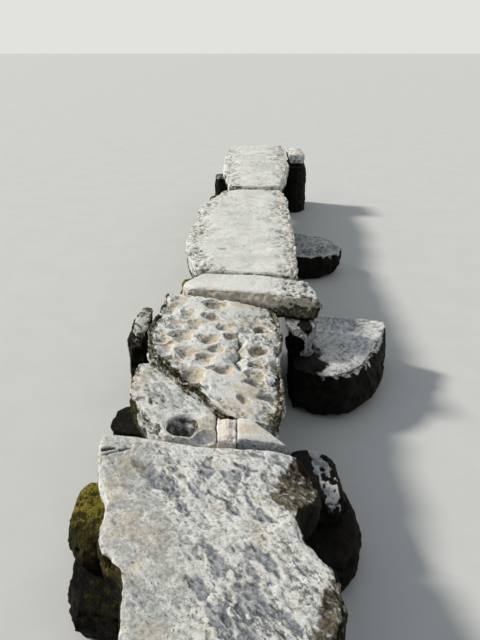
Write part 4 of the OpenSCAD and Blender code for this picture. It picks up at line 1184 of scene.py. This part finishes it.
def wedge_recipe(stone):
    front = fade(0.2, 0.75, stone.up)
    stone.paint("ochre", stone.face * 0.6 * ease(-0.2, 0.5, stone.crags(0.05, seed=1)))
    # Painted shade: the steep front is painted slate-grey as the shade it lies in.
    stone.paint("slate", 0.8 * front)
    stone.paint("rough", np.maximum(0.5 * stone.face, front))
    stone.paint("algae_and_shade", fade(0.43, 0.47, stone.z) * fade(0.5, 0.8, stone.up))
    stone.karst(front, size=0.025, depth=0.005, seed=2)
    stone.cut(0.002 * (1 + stone.crags(0.06, seed=0)))


carve("mortar_joint", "lime_mortar", lime_mortar, mortar_recipe, voxel=0.0035, rounds=1, seed=310,
      spill=0.010)
carve("wedge_stone", "cream_limestone", finishes["cream_limestone"], wedge_recipe, voxel=0.0045, rounds=3,
      seed=320)
print("joint pieces:", {name: carved[name] for name in ("mortar_joint", "wedge_stone")})

# %% [markdown]
# ## The cross slab
# One slab lies across the walkway on the middle pier. Its bed is smooth and cool grey, its broken front
# edge shows fresh ochre stone, and its right end is rough. The foot of the front is painted dark brown,
# partly stain and partly painted shade. Because the front faces the camera, its mask comes from the normal.

# %% Cross slab
CROSS_TOP = 0.62


def broken_front(stone):
    """Breaks the front edge and colours the front; returns the masks of the break and of the front."""
    waver = 0.02 * stone.crags(0.07, seed=10, octaves=3)
    broken = fade(0.0, 0.05, stone.sides[2] + CROSS_TOP - stone.z + waver)
    stone.cut(0.016 * broken * (1 + 0.5 * stone.crags(0.04, seed=12, octaves=3)) * (stone.x < 0.2))
    front = ease(0.15, 0.6, -stone.normals[:, 1]) * fade(0.8, 0.97, stone.up)
    stone.masks["rough"] *= 1 - 0.7 * front
    stone.karst(front, size=0.036, depth=0.008, seed=9)
    stone.paint("ochre", np.maximum(0.85 * front, np.maximum(0.45 * fade(0, 0.06, stone.sides[2]), broken)))
    return broken, front


def cross_recipe(stone):
    rough_flanks(stone, algae_top=0.46, depth=0.008, chip=0.010, mossy=0.1)
    wild_end = ease(0.04, 0.16, stone.x + 0.05 * stone.crags(0.1, seed=1))
    holes = stone.karst(wild_end, size=0.042, depth=0.020, seed=2, turn=70, ratio=1.4)
    stone.cut(0.0025 * (1 + stone.crags(0.08, seed=4)))
    broken, front = broken_front(stone)
    stone.paint("rough", np.maximum(wild_end, 0.3))
    calm = stone.face * (1 - wild_end) * (1 - broken)
    stone.paint("grey", calm * 0.5 * ease(-0.3, 0.4, stone.crags(0.2, seed=6)))
    stone.paint("slate", calm * 0.3 * ease(0, 0.7, stone.crags(0.16, seed=7)))
    # Painted shade mixed with brown stain: the foot of the front is darkened.
    foot = 0.480 + 0.05 * ease(-0.15, 0.25, stone.x) + 0.02 * stone.crags(0.06, seed=8, octaves=3)
    under = fade(foot, foot + 0.03, stone.z)
    stone.paint("brown", np.maximum(0.75 * front * under, 0.7 * holes))
    stone.paint("grey", 0.6 * wild_end)
    stone.paint("ochre", 0.5 * wild_end * ease(-0.3, 0.4, stone.crags(0.07, seed=14)))
    stone.paint("pit", 0.7 * wild_end * ease(0.5, 0.9, holes))
    stone.karst(front * under, size=0.04, depth=0.014, seed=20)


carve("cross_slab", "cream_limestone", finishes["cream_limestone"], cross_recipe, voxel=0.0065, rounds=2,
      seed=400)
print("cross slab triangles:", carved["cross_slab"])

# %% [markdown]
# ## The far slabs
# The two long slabs beyond are bleached almost white and walked smooth down the middle, with crumbling
# pitted margins a hand wide. One recipe serves both, and the small slab beside the bank. Only the seed and
# how fine the mesh is differ.

# %% Far, end and bank slabs
def far_recipe(stone):
    rough_flanks(stone, algae_top=0.50, depth=0.022, chip=0.030, mossy=0.45, end_guard=0.035)
    bank = np.minimum(stone.sides[0], stone.sides[1])
    margin = fade(0.03, 0.17, bank + 0.08 * stone.crags(0.15, seed=1)) * stone.face
    holes = stone.karst(margin, size=0.055, depth=0.020, seed=2)
    fine = stone.karst(margin, size=0.030, depth=0.012, seed=20)
    hole = stone.dish(-0.244, 0.382, 0.04, 0.035, turn=0, warp=0.012)
    stone.cut(stone.face * 0.004 * (1 + stone.crags(0.14, seed=4)) + 0.008 * hole)
    walked = stone.face * (1 - margin)
    stone.karst(walked * ease(0.2, 0.8, stone.crags(0.3, seed=5)), size=0.030, depth=0.005, seed=30)
    stone.paint("rough", np.maximum(0.8 * margin, 0.2))
    stone.paint("brown", 0.6 * ease(0.3, 1.0, np.maximum(holes, fine)))
    stone.paint("grey", walked * 0.45 * ease(-0.1, 0.7, stone.crags(0.22, seed=6)))
    bluish = ease(0, 0.8, stone.crags(0.3, seed=7, turn=60, ratio=2))
    stone.paint("slate", walked * 0.25 * bluish)
    ends = fade(0, 0.06, np.minimum(stone.sides[2], stone.sides[3]) + 0.015 * stone.crags(0.05, seed=8))
    warm_side = margin * ease(-0.4, 0.4, stone.crags(0.1, seed=9) + 0.8 * (stone.sides[1] < 0.2) - 0.1)
    stone.paint("ochre", np.maximum(0.8 * ends * (stone.up > 0.2), 0.6 * warm_side))


for name, voxel, seed in (("far_slab", 0.0095, 500), ("end_slab", 0.0105, 600), ("bank_slab", 0.0105, 650)):
    carve(name, "pale_limestone", finishes["far_limestone"], far_recipe, voxel=voxel, rounds=2, seed=seed)
    print(name, "triangles:", carved[name])

# %% [markdown]
# ## The outlying boulders
# A great cutwater boulder stands in the stream beside the middle pier, and a lower one beside the far pier.
# Floods keep their tops bare and pale, while below the flood line they are almost black, with algae and
# with painted shade. The line between the two is ragged, so the mask follows the height and the slope of the
# surface with noise added. The corner that lies under the slabs is painted dark as their shadow. Thin
# crevices cut the near rim.

# %% Cutwater and outlying boulders
def boulder_recipe(bare_depth, rim_slots):
    """A recipe for a boulder: how far down its face is bare, and how deep its near rim is slotted."""
    def recipe(stone):
        top = stone.z.max()
        body = fade(0.6, 0.95, stone.up)
        stone.cut(0.008 * (1 + stone.crags(0.16, seed=0)) * (0.35 + 0.65 * body))
        stone.karst(body, size=0.085, depth=0.026, seed=3)
        lip = ease(top - 0.08, top - 0.02, stone.z)
        bright = lip * fade(0.05, 0.16, np.minimum(stone.sides[1], stone.sides[2]))
        stone.karst(lip, size=0.028, depth=0.006, seed=20, turn=-115, ratio=2)
        slots = stone.karst(bright, size=0.036, depth=rim_slots, seed=5, turn=25, ratio=3)
        line = top - bare_depth + 0.045 * stone.crags(0.045, seed=9, octaves=4)
        level = ease(0.75, 0.9, stone.up + 0.1 * stone.crags(0.05, seed=10))
        bare = np.maximum(ease(line - 0.01, line + 0.01, stone.z), level)
        # Painted shadow: the corner under the slabs and the upright is darkened with the algae tone.
        shadowed_corner = fade(0.26, 0.36, stone.x + 0.06 * stone.crags(0.1, seed=15))
        shadowed_corner *= fade(-0.40, -0.28, stone.y)
        stone.paint("algae_and_shade", np.maximum(1 - bare, shadowed_corner))
        stone.paint("pit", 0.9 * ease(0.3, 0.7, slots))
        stone.paint("ochre", 0.35 * bright)
        hanging = fade(top - 0.035, top - 0.01, stone.z)
        bluish = ease(-0.4, 0.4, stone.crags(0.15, seed=11))
        stone.paint("slate", np.maximum(0.2 * (1 - bright), 0.6 * hanging) * bluish)
        tufts = ease(0.2, 0.7, stone.crags(0.13, seed=13))
        stone.paint("moss", 0.30 * body * tufts * ease(0.06, 0.2, stone.z))
        stone.paint("rough", np.maximum(0.6 * lip, np.maximum(bright, hanging)))
    return recipe


carve("cutwater_boulder", "outlying_limestone", finishes["flood_and_lit_limestone"],
      boulder_recipe(bare_depth=0.035, rim_slots=0.02), voxel=0.0085, rounds=3, seed=700)
carve("outlying_boulder", "outlying_limestone", finishes["outlying_limestone"],
      boulder_recipe(bare_depth=0.075, rim_slots=0.008), voxel=0.009, rounds=3, seed=750)
print("boulders:", {name: carved[name] for name in ("cutwater_boulder", "outlying_boulder")})

# %% [markdown]
# ## The forked upright
# A block stands between the boulder and the cross slab. Water has eaten its near face back around a pale
# rib that forks like a Y, so the rib is what the cut leaves: everything farther than a thumb from its lines
# is carved in.

# %% Upright stone
RIB_HALF_WIDTH = 0.017
FORK = [  # start and end of each line, as x and height
    ((0.129, 0.465), (0.186, 0.441)), ((0.186, 0.441), (0.225, 0.416)), ((0.225, 0.416), (0.256, 0.386)),
    ((0.305, 0.465), (0.287, 0.425)), ((0.287, 0.425), (0.256, 0.386)), ((0.256, 0.386), (0.250, 0.345)),
    ((0.250, 0.345), (0.235, 0.296)), ((0.250, 0.345), (0.268, 0.296)),
]


def upright_recipe(stone):
    spot = np.stack([stone.x, stone.z], axis=1) + stone.wander(0.012, 0.04, seed=1)
    away = np.full(len(spot), np.inf)
    for start, stop in FORK:
        line = np.array(stop) - start
        share = np.clip((spot - start) @ line / (line @ line), 0, 1)
        away = np.minimum(away, np.linalg.norm(spot - start - share[:, None] * line, axis=1))
    open_side = fade(0.6, 0.9, np.abs(stone.up))
    rib = fade(RIB_HALF_WIDTH, 0.030, away)
    stone.cut(open_side * (1 - rib) * 0.028)
    holes = stone.karst(open_side, size=0.028, depth=0.009, seed=30)
    stone.paint("algae_and_shade", np.maximum(1 - rib, 0.7 * ease(0.7, 1, holes)))
    stone.paint("slate", rib * (0.5 + 0.4 * holes))
    stone.paint("rough", rib)


carve("upright_stone", "grey_limestone", finishes["grey_limestone"], upright_recipe, voxel=0.005, rounds=3,
      seed=800)
print("upright stone triangles:", carved["upright_stone"])

# %% [markdown]
# ## The pier stones
# The piers are rubble, wet at the foot and shaggy with moss on the left side, which the sun reaches. Their
# beds stay flat where the slabs rest on them, so only the open faces are carved deep. A stone's slot says
# which finish it takes and, where the stone has no recipe of its own, how it is carved. Moss grows out of
# the surface as low cushions.

# %% Recipe for pier and abutment stones
def pier_recipe(mossy, bare, algae_line, lit_from=0.30, depth=0.026):
    """A recipe for one kind of pier stone; the algae line and lit_from are heights in metres."""
    def recipe(stone):
        open_face = fade(0.75, 0.95, np.abs(stone.up))
        grain = 0.003 * (1 + stone.crags(0.03, seed=5))
        stone.cut(open_face * 0.010 * (1 + stone.crags(0.13, seed=0)) + grain)
        holes = stone.karst(open_face, size=0.065, depth=depth, seed=3)
        line = algae_line + 0.05 * stone.crags(0.12, seed=7)
        shaded = (1 - bare) * fade(0.55, 0.9, stone.up)
        stone.paint("algae_and_shade", np.maximum(fade(line - 0.04, line + 0.04, stone.z), shaded))
        stone.paint("brown", 0.6 * holes)
        stone.paint("rough", open_face)
        patches = ease(0.15, 0.75, 0.8 * stone.crags(0.14, seed=9) + mossy + 0.25 * stone.up)
        cover = mossy * patches * ease(0.03, 0.15, stone.z)
        stone.paint("moss", cover)
        high = ease(lit_from - 0.16, lit_from, stone.z + 0.04 * stone.crags(0.1, seed=13))
        stone.paint("lit", high * ease(-0.2, 0.5, stone.up))
        cushions = 0.5 + 0.5 * stone.crags(0.028, seed=11, octaves=3)
        stone.cut(-ease(0.3, 0.8, cover) * 0.012 * cushions * open_face)
    return recipe


print("the recipe for pier stones is ready")

# %% Pier stones with a look of their own
BAND_X, BAND_Y, BAND_SLOPE = 0.195, -1.337, 0.14


def pale_stone_recipe(stone):
    """A stone darkened with the algae tone, as algae and as painted shade, but for one pale pitted band down
    its near side.
    """
    pier_recipe(mossy=0.1, bare=0.1, algae_line=0.2)(stone)
    waver = 0.012 * stone.crags(0.05, seed=21, octaves=3)
    across = (stone.x - BAND_X) + BAND_SLOPE * (stone.y - BAND_Y) + waver
    band = fade(0.030, 0.040, np.abs(across)) * ease(-1.75, -1.71, stone.y) * ease(0.22, 0.26, stone.z)
    holes = ease(0.05, 0.3, stone.pits(0.032, seed=23, share=0.65, turn=-80, ratio=1.8))
    stone.cut(0.008 * band * holes)
    # Painted shade with algae: everything but the band and its pale rims gets the near-black algae tone.
    stone.masks["algae_and_shade"] = 1 - band * (1 - holes)
    stone.masks["moss"] *= 1 - band
    stone.paint("slate", 0.8 * band)
    stone.paint("rough", band)


def mossy_stone_recipe(stone):
    """The mossiest stone, lit less towards its near end."""
    pier_recipe(mossy=1.0, bare=0.0, algae_line=0.14, lit_from=0.25)(stone)
    waver = 0.05 * stone.crags(0.07, seed=31, octaves=3)
    stone.masks["lit"] *= 0.25 + 0.75 * ease(-1.92, -1.74, stone.y + waver)


pier_recipes = {
    "mossy_limestone": pier_recipe(mossy=0.95, bare=0.3, algae_line=0.12),
    "grey_limestone": pier_recipe(mossy=0.35, bare=0.55, algae_line=0.22),
    "wet_limestone": pier_recipe(mossy=0.3, bare=0.1, algae_line=0.30),
    "pier1_pale_stone": pale_stone_recipe,
    "pier1_mossy_stone": mossy_stone_recipe,
    "side_block": pier_recipe(mossy=0.6, bare=0.25, algae_line=0.42, lit_from=0.6, depth=0.030),
    "pier1_left_boulder": pier_recipe(mossy=0.6, bare=0.0, algae_line=0.6, lit_from=0.8),
    "near_abutment_left": pier_recipe(mossy=0.6, bare=0.0, algae_line=0.6, lit_from=0.8),
    "pier1_back_stone": pier_recipe(mossy=0.5, bare=0.0, algae_line=0.6, lit_from=0.5),
    "pier1_hollowed_bearer": pier_recipe(mossy=0.4, bare=0.0, algae_line=0.6, lit_from=0.6),
    "bank_stone": pier_recipe(mossy=0.3, bare=0.0, algae_line=0.6, lit_from=0.8),
    "revetment_stone": pier_recipe(mossy=0.6, bare=0.1, algae_line=0.3, lit_from=0.6),
}
print("recipes for pier stones:", len(pier_recipes))

# %% Every stone that is left
NEAR_VOXEL, PLAIN_VOXEL = 0.0095, 0.014
slot_of = {part["node"]: part["material_slot"] for part in frame["record"]["subparts"]}
# These stones lie close enough to the camera to need the finer mesh.
shown_near = ("pier1_mossy_stone", "pier1_left_boulder", "pier1_pale_stone", "pier1_right_boulder",
              "pier1_back_stone", "pier1_hollowed_bearer", "revetment_stone", "pier2_mossy_stone",
              "pier2_left_boulder", "side_block")
for number, name in enumerate(sorted(set(frame["nodes"]) - set(carved))):
    slot = slot_of[name]
    recipe = pier_recipes.get(name) or pier_recipes[slot]
    voxel = NEAR_VOXEL if name in shown_near else PLAIN_VOXEL
    carve(name, slot, finishes[slot], recipe, voxel=voxel, rounds=5, seed=1000 + 20 * number)
print("pieces:", len(carved), "triangles:", sum(carved.values()), "largest:", max(carved.values()))

# Last, both boxes are written down: the CAD box kept from the start and the box of what is shown now, which
# has to lie inside it.

# %% Floor material
floor_material, tree, shader = new_material("pale floor")
shader.inputs["Roughness"].default_value = 0.95
floor_tone = place(tree, stain, dark=screen(209, 209, 205), light=screen(212, 212, 208), blotch=0.3)["Color"]
tree.links.new(floor_tone, shader.inputs["Base Color"])
floor_mesh.materials.append(floor_material)
print("floor finished")

boxes = {"cad": cad_box, "visual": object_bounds()}
for name, box in boxes.items():
    print(name, "box", [[round(value, 4) for value in corner] for corner in box])
